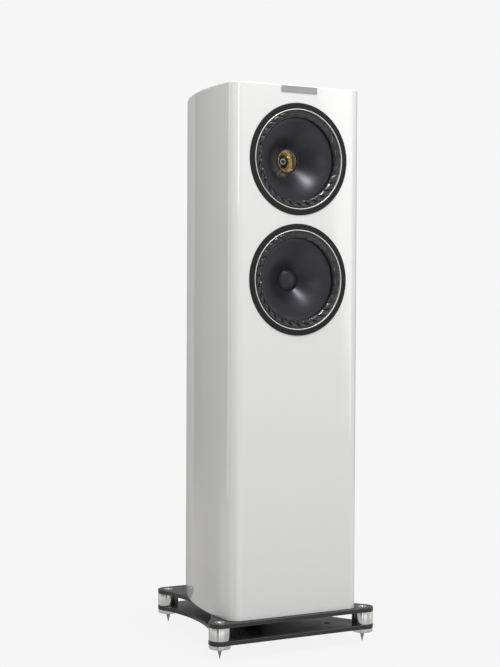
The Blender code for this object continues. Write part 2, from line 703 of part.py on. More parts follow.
def build_plinth():
    outline = plinth_outline()
    feet = list(FEET.values())
    top = extruded(outline, TOP_PLATE_Z, TOP_PLATE_Z + PLATE_THICKNESS)
    top = add_object("plinth_top_plate", top, "plinth_black")
    below, above = TOP_PLATE_Z - PLATE_THICKNESS, TOP_PLATE_Z + 2 * PLATE_THICKNESS
    holes = cylinders(feet, ADJUSTER_RADIUS + RUNNING_GAP, below, above, SIDES_SMALL)
    cut(top, "adjuster_hole_cutter", holes)
    outlet = cylinders([(0.0, PORT_Y)], PORT_RADIUS + PORT_FLARE, below, above, SIDES_INNER)
    cut(top, "port_outlet_cutter", outlet)

    lower = extruded(outline, LOWER_PLATE_Z, LOWER_PLATE_Z + PLATE_THICKNESS)
    lower = add_object("plinth_lower_plate", lower, "plinth_black")
    below, above = LOWER_PLATE_Z - PLATE_THICKNESS, LOWER_PLATE_Z + 2 * PLATE_THICKNESS
    holes = cylinders(feet, SPIKE_RADIUS + RUNNING_GAP, below, above, SIDES_SMALL)
    cut(lower, "spike_hole_cutter", holes)
    access = []
    for x, y in feet:
        inward_x = math.copysign(ACCESS_HOLE_INSET_X, x)
        inward_y = math.copysign(ACCESS_HOLE_INSET_Y, y)
        access.append((x - inward_x, y - inward_y))
    holes = cylinders(access, ACCESS_HOLE_RADIUS, below, above, SIDES_TINY)
    cut(lower, "access_hole_cutter", holes)


def build_foot(name, place):
    """A column between the plates, and the spike, adjuster and lock wheel on its axis."""
    axis = add_empty(f"foot_{name}_axis", (place[0], place[1], 0.0))
    column = ring_profile(COLUMN_BORE, COLUMN_RADIUS, COLUMN_Z, COLUMN_HEIGHT)
    add_object(f"column_{name}", turned(column, SIDES_INNER), "aluminium", axis)

    adjuster_top = TOP_PLATE_Z + PLATE_THICKNESS
    bore_top = adjuster_top - ADJUSTER_WEB
    bore = SPIKE_RADIUS + RUNNING_GAP
    sleeve_bottom = COLUMN_Z + ADJUSTER_WEB
    adjuster = [
        (bore, sleeve_bottom),
        (ADJUSTER_SLEEVE_RADIUS, sleeve_bottom),
        (ADJUSTER_SLEEVE_RADIUS, TOP_PLATE_Z - GAP),
        (ADJUSTER_RADIUS, TOP_PLATE_Z - GAP),
        (ADJUSTER_RADIUS, adjuster_top),
        (0.0, adjuster_top),
        (0.0, bore_top),
        (bore, bore_top),
    ]
    adjuster = add_object(f"adjuster_{name}", turned(adjuster, SIDES_SMALL), "aluminium", axis)
    socket = cylinders(
        [(0.0, 0.0)],
        HEX_SOCKET_RADIUS,
        adjuster_top - HEX_SOCKET_DEPTH,
        adjuster_top + HEX_SOCKET_DEPTH,
        6,
    )
    cut(adjuster, f"hex_socket_cutter_{name}", socket, axis)

    spike_top = bore_top - ADJUSTER_ROOM
    spike = [
        (0.0, 0.0),
        (SPIKE_TIP_RADIUS, 0.0),
        (SPIKE_RADIUS, SPIKE_POINT),
        (SPIKE_RADIUS, spike_top),
        (0.0, spike_top),
    ]
    add_object(f"spike_{name}", turned(spike, SIDES_SMALL), "steel", axis)

    wheel = ring_profile(
        SPIKE_RADIUS + RUNNING_GAP, LOCK_WHEEL_RADIUS, LOCK_WHEEL_Z, LOCK_WHEEL_THICKNESS
    )
    add_object(f"lock_wheel_{name}", turned(wheel, SIDES_INNER), "aluminium", axis)


def build_port():
    """A tube that opens down through the cabinet's bottom, over a cone that spreads the air."""
    bottom = CABINET_Z + GAP
    tube = ring_profile(PORT_RADIUS, PORT_RADIUS + PORT_WALL, bottom, PORT_LENGTH)
    place = (0.0, PORT_Y, 0.0)
    add_object("port_tube", turned(tube, SIDES_INNER), "black_plastic", location=place)
    steps = 5
    cone = [(0.0, COLUMN_Z), (DIFFUSER_RADIUS, COLUMN_Z)]
    for i in range(1, steps + 1):
        share = i / steps
        cone.append((DIFFUSER_RADIUS * (1 - share) ** 1.5, COLUMN_Z + DIFFUSER_HEIGHT * share))
    add_object("port_diffuser", turned(cone, SIDES_INNER), "black_plastic", location=place)


# ---- Terminals and crossover ----
def build_terminals():
    back_y = BAFFLE_Y + CABINET_DEPTH
    middle_z = CABINET_TOP - TERMINAL_BELOW_TOP
    plate_y = back_y + GAP
    plate = box(
        (TERMINAL_WIDTH, TERMINAL_THICKNESS, TERMINAL_HEIGHT),
        (0.0, plate_y + TERMINAL_THICKNESS / 2, middle_z),
    )
    plate = add_object("terminal_plate", plate, "black_plastic")
    face_y = plate_y + TERMINAL_THICKNESS
    places = {
        "upper_left": (-POST_PITCH / 2, POST_PITCH / 2),
        "upper_right": (POST_PITCH / 2, POST_PITCH / 2),
        "lower_left": (-POST_PITCH / 2, -POST_PITCH / 2),
        "lower_right": (POST_PITCH / 2, -POST_PITCH / 2),
    }
    collar_start = GAP
    nut_start = collar_start + POST_COLLAR + NUT_LIFT
    post = [
        (0.0, -POST_INNER_LENGTH),
        (POST_RADIUS, -POST_INNER_LENGTH),
        (POST_RADIUS, collar_start),
        (POST_COLLAR_RADIUS, collar_start),
        (POST_COLLAR_RADIUS, collar_start + POST_COLLAR),
        (POST_RADIUS, collar_start + POST_COLLAR),
        (POST_RADIUS, POST_OUTER_LENGTH),
        (0.0, POST_OUTER_LENGTH),
    ]
    nut = ring_profile(POST_RADIUS + RUNNING_GAP, NUT_RADIUS, nut_start, NUT_LENGTH)
    outward = (-math.pi / 2, 0.0, 0.0)
    for name, (x, z) in places.items():
        axis = add_empty(f"terminal_{name}_axis", (x, face_y, middle_z + z), outward)
        hole = cylinders(
            [(0.0, 0.0)],
            POST_RADIUS + RUNNING_GAP,
            -3 * TERMINAL_THICKNESS,
            3 * TERMINAL_THICKNESS,
            SIDES_TINY,
        )
        cut(plate, f"post_hole_cutter_{name}", hole, axis)
        add_object(f"binding_post_{name}", turned(post, SIDES_TINY), "gold", axis)
        add_object(f"binding_nut_{name}", turned(nut, SIDES_TINY), "gold", axis)


def build_crossover():
    """A board on the inside of the rear panel, with an air-cored coil and a film capacitor."""
    board_back = BAFFLE_Y + CABINET_DEPTH - WALL - BOARD_STANDOFF
    board_z = CABINET_TOP - BOARD_BELOW_TOP
    board_middle = (0.0, board_back - BOARD_THICKNESS / 2, board_z)
    board = box((BOARD_WIDTH, BOARD_THICKNESS, BOARD_HEIGHT), board_middle)
    add_object("crossover_board", board, "circuit_board")
    face_y = board_back - BOARD_THICKNESS - GAP
    forward = (math.pi / 2, 0.0, 0.0)
    coil = ring_profile(INDUCTOR_BORE, INDUCTOR_RADIUS, 0.0, INDUCTOR_LENGTH)
    add_object(
        "inductor_coil",
        turned(coil, SIDES_INNER),
        "copper",
        location=(0.0, face_y, board_z + BOARD_HEIGHT / 2 - INDUCTOR_RADIUS),
        rotation=forward,
    )
    can = ring_profile(0.0, CAPACITOR_RADIUS, 0.0, CAPACITOR_LENGTH)
    add_object(
        "capacitor",
        turned(can, SIDES_SMALL),
        "capacitor_film",
        location=(0.0, face_y - CAPACITOR_RADIUS, board_z - BOARD_HEIGHT / 2 + CAPACITOR_RADIUS),
    )


def main():
    clear_scene()
    facing_front = (math.pi / 2, 0.0, 0.0)
    axes = []
    for driver in (COAX, BASS):
        axis = add_empty(f"{driver.name}_axis", (0.0, BAFFLE_Y, driver.centre_z), facing_front)
        axes.append((driver, axis))
    build_cabinet(axes)
    moving = {}
    for driver, axis in axes:
        moving[driver.name] = build_driver(driver, axis)
    build_horn(axes[0][1])
    build_bass_centre(axes[1][1], moving["bass"])
    build_plinth()
    for name, place in FEET.items():
        build_foot(name, place)
    build_port()
    build_terminals()
    build_crossover()


main()
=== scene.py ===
"""Looks of a floorstanding speaker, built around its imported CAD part.

Metres, +Z up, drivers facing -Y. Each sub-assembly is a class with its sizes in a frozen
dataclass, and each surface is a Finish that the FinishLibrary turns into a procedural material.
Turned pieces are modelled about their own axis and then placed, and keep their own coordinates in
the attribute "local_position", which the materials read.
"""

import json
import logging
import math
from dataclasses import dataclass
from enum import Enum
from typing import Callable, Sequence

import bmesh
import bpy
from mathutils import Matrix, Vector
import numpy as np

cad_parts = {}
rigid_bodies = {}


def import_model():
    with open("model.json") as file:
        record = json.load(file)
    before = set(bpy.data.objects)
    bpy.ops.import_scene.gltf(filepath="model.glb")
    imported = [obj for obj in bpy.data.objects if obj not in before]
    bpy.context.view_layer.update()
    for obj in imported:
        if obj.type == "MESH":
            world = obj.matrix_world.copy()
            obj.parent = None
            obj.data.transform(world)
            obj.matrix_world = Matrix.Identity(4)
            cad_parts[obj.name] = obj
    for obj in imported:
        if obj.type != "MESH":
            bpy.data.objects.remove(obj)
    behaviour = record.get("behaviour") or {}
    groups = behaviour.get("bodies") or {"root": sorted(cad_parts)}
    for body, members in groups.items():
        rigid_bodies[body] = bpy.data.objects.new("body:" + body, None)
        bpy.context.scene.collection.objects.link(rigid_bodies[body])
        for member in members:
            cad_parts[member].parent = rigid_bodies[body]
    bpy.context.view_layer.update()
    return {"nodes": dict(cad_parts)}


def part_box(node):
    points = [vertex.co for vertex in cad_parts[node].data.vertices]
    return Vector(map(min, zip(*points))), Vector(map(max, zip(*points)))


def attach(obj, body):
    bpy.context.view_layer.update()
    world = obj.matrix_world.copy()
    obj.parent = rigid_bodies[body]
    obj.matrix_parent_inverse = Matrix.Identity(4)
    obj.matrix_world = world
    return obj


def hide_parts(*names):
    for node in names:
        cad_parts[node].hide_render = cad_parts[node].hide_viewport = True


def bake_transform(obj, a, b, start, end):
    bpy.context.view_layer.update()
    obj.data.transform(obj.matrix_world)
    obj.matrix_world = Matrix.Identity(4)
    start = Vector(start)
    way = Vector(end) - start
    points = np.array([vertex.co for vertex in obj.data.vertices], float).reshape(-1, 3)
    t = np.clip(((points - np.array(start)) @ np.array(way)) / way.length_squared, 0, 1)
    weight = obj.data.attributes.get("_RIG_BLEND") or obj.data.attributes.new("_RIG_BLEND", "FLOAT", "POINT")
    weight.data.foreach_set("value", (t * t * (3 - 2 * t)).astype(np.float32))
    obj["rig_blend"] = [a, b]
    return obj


LOG = logging.getLogger("speaker")
LOCAL_POSITION = "local_position"
LOCAL_TANGENT = "local_tangent"
GAP = 0.0003  # between pieces that touch

Point = tuple[float, float]
Triple = tuple[float, float, float]
Colour = Triple
Socket = bpy.types.NodeSocket
BMesh = bmesh.types.BMesh


# ---------------------------------------------------------------- shader nodes
class Graph:
    """Writes nodes and links into one shader node tree."""

    def __init__(self, tree: bpy.types.NodeTree) -> None:
        """Write into a tree."""
        self.tree = tree

    def add(
        self,
        kind: str,
        inputs: dict[str | int, object] | None = None,
        output: str | int = 0,
        **settings: object,
    ) -> Socket:
        """Add a node and feed its inputs.

        Args:
            kind: The node's type name.
            inputs: A socket or a constant for each named or numbered input.
            output: The output to return.
            **settings: Properties of the node, such as its operation.

        Returns:
            The chosen output socket.
        """
        node = self.tree.nodes.new(kind)
        for name, value in settings.items():
            setattr(node, name, value)
        for name, value in (inputs or {}).items():
            self.feed(node.inputs[name], value)
        return node.outputs[output]

    def feed(self, socket: Socket, value: object) -> None:
        """Link a socket to an output, or set its constant.

        Args:
            socket: The input to feed.
            value: An output to link, or a constant; a colour gets its alpha here.
        """
        if isinstance(value, Socket):
            self.tree.links.new(value, socket)
        else:
            socket.default_value = paint(value) if socket.type == "RGBA" else value

    def maths(self, operation: str, *values: object, clamp: bool = False) -> Socket:
        """A Math node on up to three values."""
        inputs = dict(enumerate(values))
        return self.add("ShaderNodeMath", inputs, operation=operation, use_clamp=clamp)

    def stretched(self, vector: Socket, factors: Colour) -> Socket:
        """A vector with each of its parts multiplied."""
        return self.add("ShaderNodeVectorMath", {0: vector, 1: factors}, operation="MULTIPLY")

    def reach(self, vector: Socket) -> Socket:
        """The length of a vector."""
        return self.add("ShaderNodeVectorMath", {0: vector}, output=1, operation="LENGTH")

    def remap(
        self, value: object, source: Point, target: Point, smooth: bool = False
    ) -> Socket:
        """Map a value from one range to another, clamped.

        Args:
            value: What to map.
            source: Its range.
            target: The range to map it to.
            smooth: Whether the ends are eased.

        Returns:
            The mapped value.
        """
        inputs = {0: value, 1: source[0], 2: source[1], 3: target[0], 4: target[1]}
        style = "SMOOTHSTEP" if smooth else "LINEAR"
        return self.add("ShaderNodeMapRange", inputs, interpolation_type=style)

    def noise(
        self, vector: object, scale: object, detail: float = 2.0, dimensions: str = "3D"
    ) -> Socket:
        """A noise texture's value.

        Args:
            vector: Where to read it; a number in one dimension.
            scale: Features per metre.
            detail: Octaves.
            dimensions: "1D" or "3D".

        Returns:
            The value, from 0 to 1.
        """
        place = "W" if dimensions == "1D" else "Vector"
        inputs = {place: vector, "Scale": scale, "Detail": detail}
        return self.add("ShaderNodeTexNoise", inputs, noise_dimensions=dimensions)

    def mix(self, factor: object, first: object, second: object) -> Socket:
        """Blend two colours."""
        inputs = {0: factor, 6: first, 7: second}
        return self.add("ShaderNodeMix", inputs, output=2, data_type="RGBA")

    def ramp(self, value: object, stops: Sequence[tuple[float, Colour]]) -> Socket:
        """A colour ramp with eased stops.

        Args:
            value: What the ramp reads.
            stops: A position and a colour for each stop.

        Returns:
            The ramp's colour.
        """
        colour = self.add("ShaderNodeValToRGB", {0: value})
        ramp = colour.node.color_ramp
        ramp.interpolation = "EASE"
        while len(ramp.elements) < len(stops):
            ramp.elements.new(0.5)
        for element, (position, tone) in zip(ramp.elements, stops):
            element.position = position
            element.color = paint(tone)
        return colour

    def axes(self, vector: object) -> tuple[Socket, ...]:
        """The three parts of a vector."""
        return tuple(self.add("ShaderNodeSeparateXYZ", {0: vector}).node.outputs)


def paint(colour: Colour) -> tuple[float, ...]:
    """A colour with its alpha."""
    return (*colour, 1.0)


def grey(level: float) -> Colour:
    """A colour with three equal parts."""
    return (level, level, level)


class Pattern(Enum):
    """The texture that a finish shows in its tone and its relief."""

    GRAIN = "Grain"
    TURNED = "Turned"
    BRUSHED = "Brushed"
    WEAVE = "Weave"
    WINDING = "Winding"
    SPECKLE = "Speckle"
    TRACES = "Traces"
    FIBRE = "Fibre"
    PEEL = "Peel"


class NodeGroups:
    """Shared shader node groups, each made once and giving only values."""

    def __init__(self) -> None:
        """Start with no groups made."""
        self.made: dict[str, bpy.types.NodeTree] = {}
        self.writers: dict[str, Callable[[Graph, Socket, Socket], Socket]] = {
            Pattern.GRAIN.value: self.grain,
            Pattern.TURNED.value: self.turned,
            Pattern.BRUSHED.value: self.brushed,
            Pattern.WEAVE.value: self.weave,
            Pattern.WINDING.value: self.winding,
            Pattern.SPECKLE.value: self.speckle,
            Pattern.TRACES.value: self.traces,
            Pattern.FIBRE.value: self.fibre,
            Pattern.PEEL.value: self.peel,
            "Handling": self.handling,
            "Dust": self.dust,
        }

    def use(
        self, graph: Graph, name: str, vector: Socket, scale: float
    ) -> Socket:
        """Place a group in a material.

        Args:
            graph: The material's tree.
            name: Which group.
            vector: Coordinates in metres.
            scale: Features per metre, roughly.

        Returns:
            The group's value, from 0 to 1.
        """
        if name not in self.made:
            self.made[name] = self.build(name)
        node = graph.tree.nodes.new("ShaderNodeGroup")
        node.node_tree = self.made[name]
        graph.feed(node.inputs["Vector"], vector)
        graph.feed(node.inputs["Scale"], scale)
        return node.outputs["Value"]

    def build(self, name: str) -> bpy.types.NodeTree:
        """Make one group's tree and its sockets.

        Args:
            name: Which group.

        Returns:
            The tree.
        """
        tree = bpy.data.node_groups.new(name, "ShaderNodeTree")
        tree.interface.new_socket("Vector", in_out="INPUT", socket_type="NodeSocketVector")
        tree.interface.new_socket("Scale", in_out="INPUT", socket_type="NodeSocketFloat")
        tree.interface.new_socket("Value", in_out="OUTPUT", socket_type="NodeSocketFloat")
        graph = Graph(tree)
        inputs = tree.nodes.new("NodeGroupInput").outputs
        value = self.writers[name](graph, inputs["Vector"], inputs["Scale"])
        graph.feed(tree.nodes.new("NodeGroupOutput").inputs["Value"], value)
        return tree

    @staticmethod
    def grain(graph: Graph, vector: Socket, scale: Socket) -> Socket:
        """Fine even grain."""
        return graph.noise(vector, scale, 4.0)

    @staticmethod
    def turned(graph: Graph, vector: Socket, scale: Socket) -> Socket:
        """Rings left by a lathe tool, on faces and on cylinders.

        Args:
            graph: The group's tree.
            vector: Coordinates in metres.
            scale: Features per metre.

        Returns:
            The value, from 0 to 1.
        """
        x, y, z = graph.axes(vector)
        squares = [graph.maths("POWER", part, 2.0) for part in (x, y)]
        radius = graph.maths("SQRT", graph.maths("ADD", *squares))
        along = graph.maths("ADD", radius, z)
        rings = graph.noise(along, scale, 3.0, "1D")
        flecks = graph.noise(vector, scale, 1.0)
        return graph.maths("MULTIPLY_ADD", flecks, 0.25, graph.maths("MULTIPLY", rings, 0.75))

    @staticmethod
    def brushed(graph: Graph, vector: Socket, scale: Socket) -> Socket:
        """Fine lines that run along X."""
        return graph.noise(graph.stretched(vector, (0.02, 1.0, 1.0)), scale, 3.0)

    @staticmethod
    def weave(graph: Graph, vector: Socket, scale: Socket) -> Socket:
        """Over-and-under threads.

        Args:
            graph: The group's tree.
            vector: Coordinates in metres.
            scale: Features per metre.

        Returns:
            The value, from 0 to 1.
        """
        grown = graph.add("ShaderNodeVectorMath", {0: vector, "Scale": scale}, operation="SCALE")
        x, _, z = graph.axes(grown)
        crossed = graph.maths("MULTIPLY", graph.maths("SINE", x), graph.maths("SINE", z))
        fuzz = graph.noise(vector, scale, 2.0)
        return graph.maths("MULTIPLY_ADD", crossed, 0.35, fuzz, clamp=True)

    @staticmethod
    def winding(graph: Graph, vector: Socket, scale: Socket) -> Socket:
        """Turns of wire side by side, by radius and by height.

        Args:
            graph: The group's tree.
            vector: Coordinates in metres.
            scale: Features per metre.

        Returns:
            The value, from 0 to 1.
        """
        x, y, z = graph.axes(vector)
        aside = graph.maths("ADD", z, graph.maths("MULTIPLY", x, 0.02))
        across = graph.maths("ADD", graph.reach(vector), aside)
        wave = graph.maths("SINE", graph.maths("MULTIPLY", across, scale))
        uneven = graph.noise(y, 60.0, 1.0, "1D")
        return graph.maths("MULTIPLY_ADD", wave, 0.4, uneven, clamp=True)

    @staticmethod
    def speckle(graph: Graph, vector: Socket, scale: Socket) -> Socket:
        """Sharp mineral specks over a soft ground.

        Args:
            graph: The group's tree.
            vector: Coordinates in metres.
            scale: Features per metre.

        Returns:
            The value, from 0 to 1.
        """
        cells = graph.add("ShaderNodeTexVoronoi", {"Vector": vector, "Scale": scale})
        ground = graph.noise(vector, scale, 3.0)
        return graph.maths("MULTIPLY", graph.remap(cells, (0.1, 0.5), (1.0, 0.55)), ground)

    @staticmethod
    def traces(graph: Graph, vector: Socket, scale: Socket) -> Socket:
        """Copper tracks under a solder mask.

        Args:
            graph: The group's tree.
            vector: Coordinates in metres.
            scale: Features per metre.

        Returns:
            The value, from 0 to 1.
        """
        x, _, z = graph.axes(vector)
        flat = graph.add("ShaderNodeCombineXYZ", {0: x, 1: z})
        inputs = {"Vector": flat, "Scale": scale}
        cells = graph.add("ShaderNodeTexVoronoi", inputs, distance="MANHATTAN")
        return graph.remap(cells, (0.30, 0.36), (1.0, 0.0))

    @staticmethod
    def fibre(graph: Graph, vector: Socket, scale: Socket) -> Socket:
        """Pressed wood fibres with darker dust between them.

        Args:
            graph: The group's tree.
            vector: Coordinates in metres.
            scale: Features per metre.

        Returns:
            The value, from 0 to 1.
        """
        long = graph.noise(graph.stretched(vector, (0.3, 1.0, 0.6)), scale, 5.0)
        specks = graph.noise(vector, 2600.0, 2.0)
        return graph.maths("MULTIPLY_ADD", specks, 0.4, graph.maths("MULTIPLY", long, 0.6))

    @staticmethod
    def peel(graph: Graph, vector: Socket, scale: Socket) -> Socket:
        """The slow waviness of sprayed lacquer.

        Args:
            graph: The group's tree.
            vector: Coordinates in metres.
            scale: Features per metre.

        Returns:
            The value, from 0 to 1.
        """
        broad = graph.noise(vector, scale, 1.0)
        drift = graph.noise(vector, 14.0, 1.0)
        return graph.maths("MULTIPLY_ADD", drift, 0.6, graph.maths("MULTIPLY", broad, 0.4))

    @staticmethod
    def handling(graph: Graph, vector: Socket, scale: Socket) -> Socket:
        """Patches where a surface has been wiped or touched."""
        patches = graph.noise(vector, scale, 3.0)
        return graph.remap(patches, (0.42, 0.68), (0.0, 1.0), smooth=True)

    @staticmethod
    def dust(graph: Graph, vector: Socket, scale: Socket) -> Socket:
        """A thin film on faces that look up.

        Args:
            graph: The group's tree.
            vector: Coordinates in metres.
            scale: Features per metre.

        Returns:
            The value, from 0 to 1.
        """
        normal = graph.add("ShaderNodeNewGeometry", output="Normal")
        _, _, up = graph.axes(normal)
        facing = graph.remap(up, (0.55, 1.0), (0.0, 1.0))
        motes = graph.noise(vector, scale, 5.0)
        return graph.maths("MULTIPLY", facing, graph.remap(motes, (0.45, 0.75), (0.15, 1.0)))


# ---------------------------------------------------------------- finishes
@dataclass(frozen=True)
class Finish:
    """One surface: its tones, gloss and texture.

    Attributes:
        slot: The record's material slot.
        base: Main tone.
        accent: Tone where the pattern is high.
        roughness: Lowest and highest roughness.
        pattern: Texture of tone and relief.
        scale: Pattern features per metre.
        contrast: Share of the accent that the pattern brings in.
        relief: Depth of the relief in metres.
        metallic: How far it reflects as a metal.
        anisotropy: Stretch of its highlights along the tool's marks.
        specular: Strength of its plain reflection.
        coat: Weight of a clear coat over it.
        dust: Share of the dust film that shows.
    """

    slot: str
    base: Colour
    accent: Colour
    roughness: Point
    pattern: Pattern = Pattern.GRAIN
    scale: float = 900.0
    contrast: float = 0.5
    relief: float = 0.00001
    metallic: float = 0.0
    anisotropy: float = 0.0
    specular: float = 0.5
    coat: float = 0.0
    dust: float = 0.02


FINISHES: dict[str, Finish] = {
    "lacquer": Finish(
        "white_lacquer", (0.80, 0.80, 0.795), (0.815, 0.815, 0.81), (0.05, 0.09), Pattern.PEEL,
        scale=240.0, contrast=0.6, relief=0.00006, coat=0.6, dust=0.01,
    ),
    "board": Finish(
        "raw_board", (0.40, 0.30, 0.20), (0.52, 0.42, 0.29), (0.75, 0.95), Pattern.FIBRE,
        scale=420.0, contrast=0.9, relief=0.0002,
    ),
    "satin_ring": Finish(
        "satin_ring", (0.014, 0.013, 0.014), (0.022, 0.021, 0.022), (0.42, 0.55), Pattern.GRAIN,
        scale=2600.0, contrast=0.6, relief=0.00003, specular=0.18,
    ),
    "ring_chrome": Finish(
        "satin_ring", (0.86, 0.86, 0.84), (0.94, 0.94, 0.92), (0.28, 0.36), Pattern.TURNED,
        scale=2400.0, contrast=0.4, relief=0.000006, metallic=0.35,
    ),
    "bead_metal": Finish(
        "satin_ring", (0.30, 0.29, 0.28), (0.42, 0.41, 0.40), (0.20, 0.30), Pattern.TURNED,
        scale=2400.0, contrast=0.4, relief=0.000006, metallic=1.0,
    ),
    "rubber": Finish(
        "rubber", (0.007, 0.007, 0.009), (0.014, 0.014, 0.018), (0.17, 0.25), Pattern.GRAIN,
        scale=1500.0, contrast=0.5, relief=0.00002, specular=0.75,
    ),
    "cone": Finish(
        "cone_metal", (0.034, 0.034, 0.041), (0.047, 0.048, 0.056), (0.33, 0.39), Pattern.GRAIN,
        scale=2400.0, contrast=0.4, relief=0.00001, metallic=0.6,
    ),
    "basket": Finish(
        "cast_basket", (0.06, 0.06, 0.062), (0.10, 0.10, 0.10), (0.5, 0.7), Pattern.GRAIN,
        scale=800.0, contrast=0.6, relief=0.00008, metallic=0.7,
    ),
    "copper": Finish(
        "copper", (0.50, 0.20, 0.075), (0.78, 0.42, 0.20), (0.22, 0.40), Pattern.WINDING,
        scale=9000.0, contrast=0.8, relief=0.0003, metallic=1.0,
    ),
    "cloth": Finish(
        "spider_cloth", (0.30, 0.18, 0.05), (0.52, 0.36, 0.14), (0.8, 0.95), Pattern.WEAVE,
        scale=6000.0, contrast=0.8, relief=0.0002,
    ),
    "steel": Finish(
        "steel", (0.30, 0.30, 0.31), (0.48, 0.48, 0.49), (0.20, 0.36), Pattern.TURNED,
        scale=1800.0, contrast=0.6, relief=0.00002, metallic=1.0, anisotropy=0.4,
    ),
    "ferrite": Finish(
        "ferrite", (0.020, 0.020, 0.023), (0.075, 0.075, 0.080), (0.5, 0.75), Pattern.SPECKLE,
        scale=1500.0, contrast=0.7, relief=0.0001,
    ),
    "gold": Finish(
        "gold", (0.60, 0.50, 0.30), (0.78, 0.68, 0.47), (0.16, 0.28), Pattern.TURNED,
        scale=1500.0, contrast=0.6, relief=0.00002, metallic=1.0, anisotropy=0.5,
    ),
    "plastic": Finish(
        "black_plastic", (0.010, 0.010, 0.011), (0.024, 0.024, 0.025), (0.32, 0.50), Pattern.GRAIN,
        scale=3000.0, contrast=0.6, relief=0.00004,
    ),
    "plastic_red": Finish(
        "black_plastic", (0.35, 0.012, 0.010), (0.50, 0.03, 0.02), (0.25, 0.42), Pattern.GRAIN,
        scale=2500.0, contrast=0.5, relief=0.00002,
    ),
    "dome": Finish(
        "dome_metal", (0.42, 0.42, 0.44), (0.60, 0.60, 0.62), (0.16, 0.28), Pattern.TURNED,
        scale=2500.0, contrast=0.5, relief=0.000008, metallic=1.0, anisotropy=0.3,
    ),
    "plinth": Finish(
        "plinth_black", (0.036, 0.035, 0.037), (0.058, 0.056, 0.058), (0.26, 0.36), Pattern.GRAIN,
        scale=2200.0, contrast=0.6, relief=0.00003, metallic=0.3, dust=0.03,
    ),
    # painted highlight: the plates' slanted bevel and chamfer faces get this lighter tone in place of the
    # light that catches their edges
    "plinth_bevel_painted_highlight": Finish(
        "plinth_black", (0.09, 0.09, 0.10), (0.14, 0.14, 0.15), (0.25, 0.38), Pattern.BRUSHED,
        scale=1600.0, contrast=0.6, relief=0.00002, metallic=0.5,
    ),
    "aluminium": Finish(
        "aluminium", (0.74, 0.74, 0.73), (0.88, 0.88, 0.87), (0.13, 0.24), Pattern.TURNED,
        scale=1900.0, contrast=0.6, relief=0.000015, metallic=1.0, anisotropy=0.45,
    ),
    "polished": Finish(
        "aluminium", (0.80, 0.80, 0.79), (0.90, 0.90, 0.89), (0.05, 0.11), Pattern.TURNED,
        scale=2200.0, contrast=0.5, relief=0.000006, metallic=1.0, anisotropy=0.2,
    ),
    "steel_plain": Finish(
        "steel", (0.30, 0.30, 0.31), (0.48, 0.48, 0.49), (0.22, 0.36), Pattern.GRAIN,
        scale=1800.0, contrast=0.6, relief=0.00001, metallic=1.0,
    ),
    "badge": Finish(
        "badge_silver", (0.34, 0.34, 0.35), (0.50, 0.50, 0.51), (0.28, 0.42), Pattern.BRUSHED,
        scale=2600.0, contrast=0.7, relief=0.00002, metallic=1.0, anisotropy=0.3,
    ),
    "circuit": Finish(
        "circuit_board", (0.010, 0.075, 0.030), (0.07, 0.20, 0.08), (0.28, 0.45), Pattern.TRACES,
        scale=120.0, contrast=0.9, relief=0.00005,
    ),
    "film": Finish(
        "capacitor_film", (0.03, 0.08, 0.24), (0.06, 0.14, 0.36), (0.25, 0.38), Pattern.WINDING,
        scale=2500.0, contrast=0.4, relief=0.00005,
    ),
}


class Coordinates(Enum):
    """Where a material reads its place from."""

    LOCAL = "local"  # the piece's own attribute
    OBJECT = "object"  # a CAD node, which carries no attribute


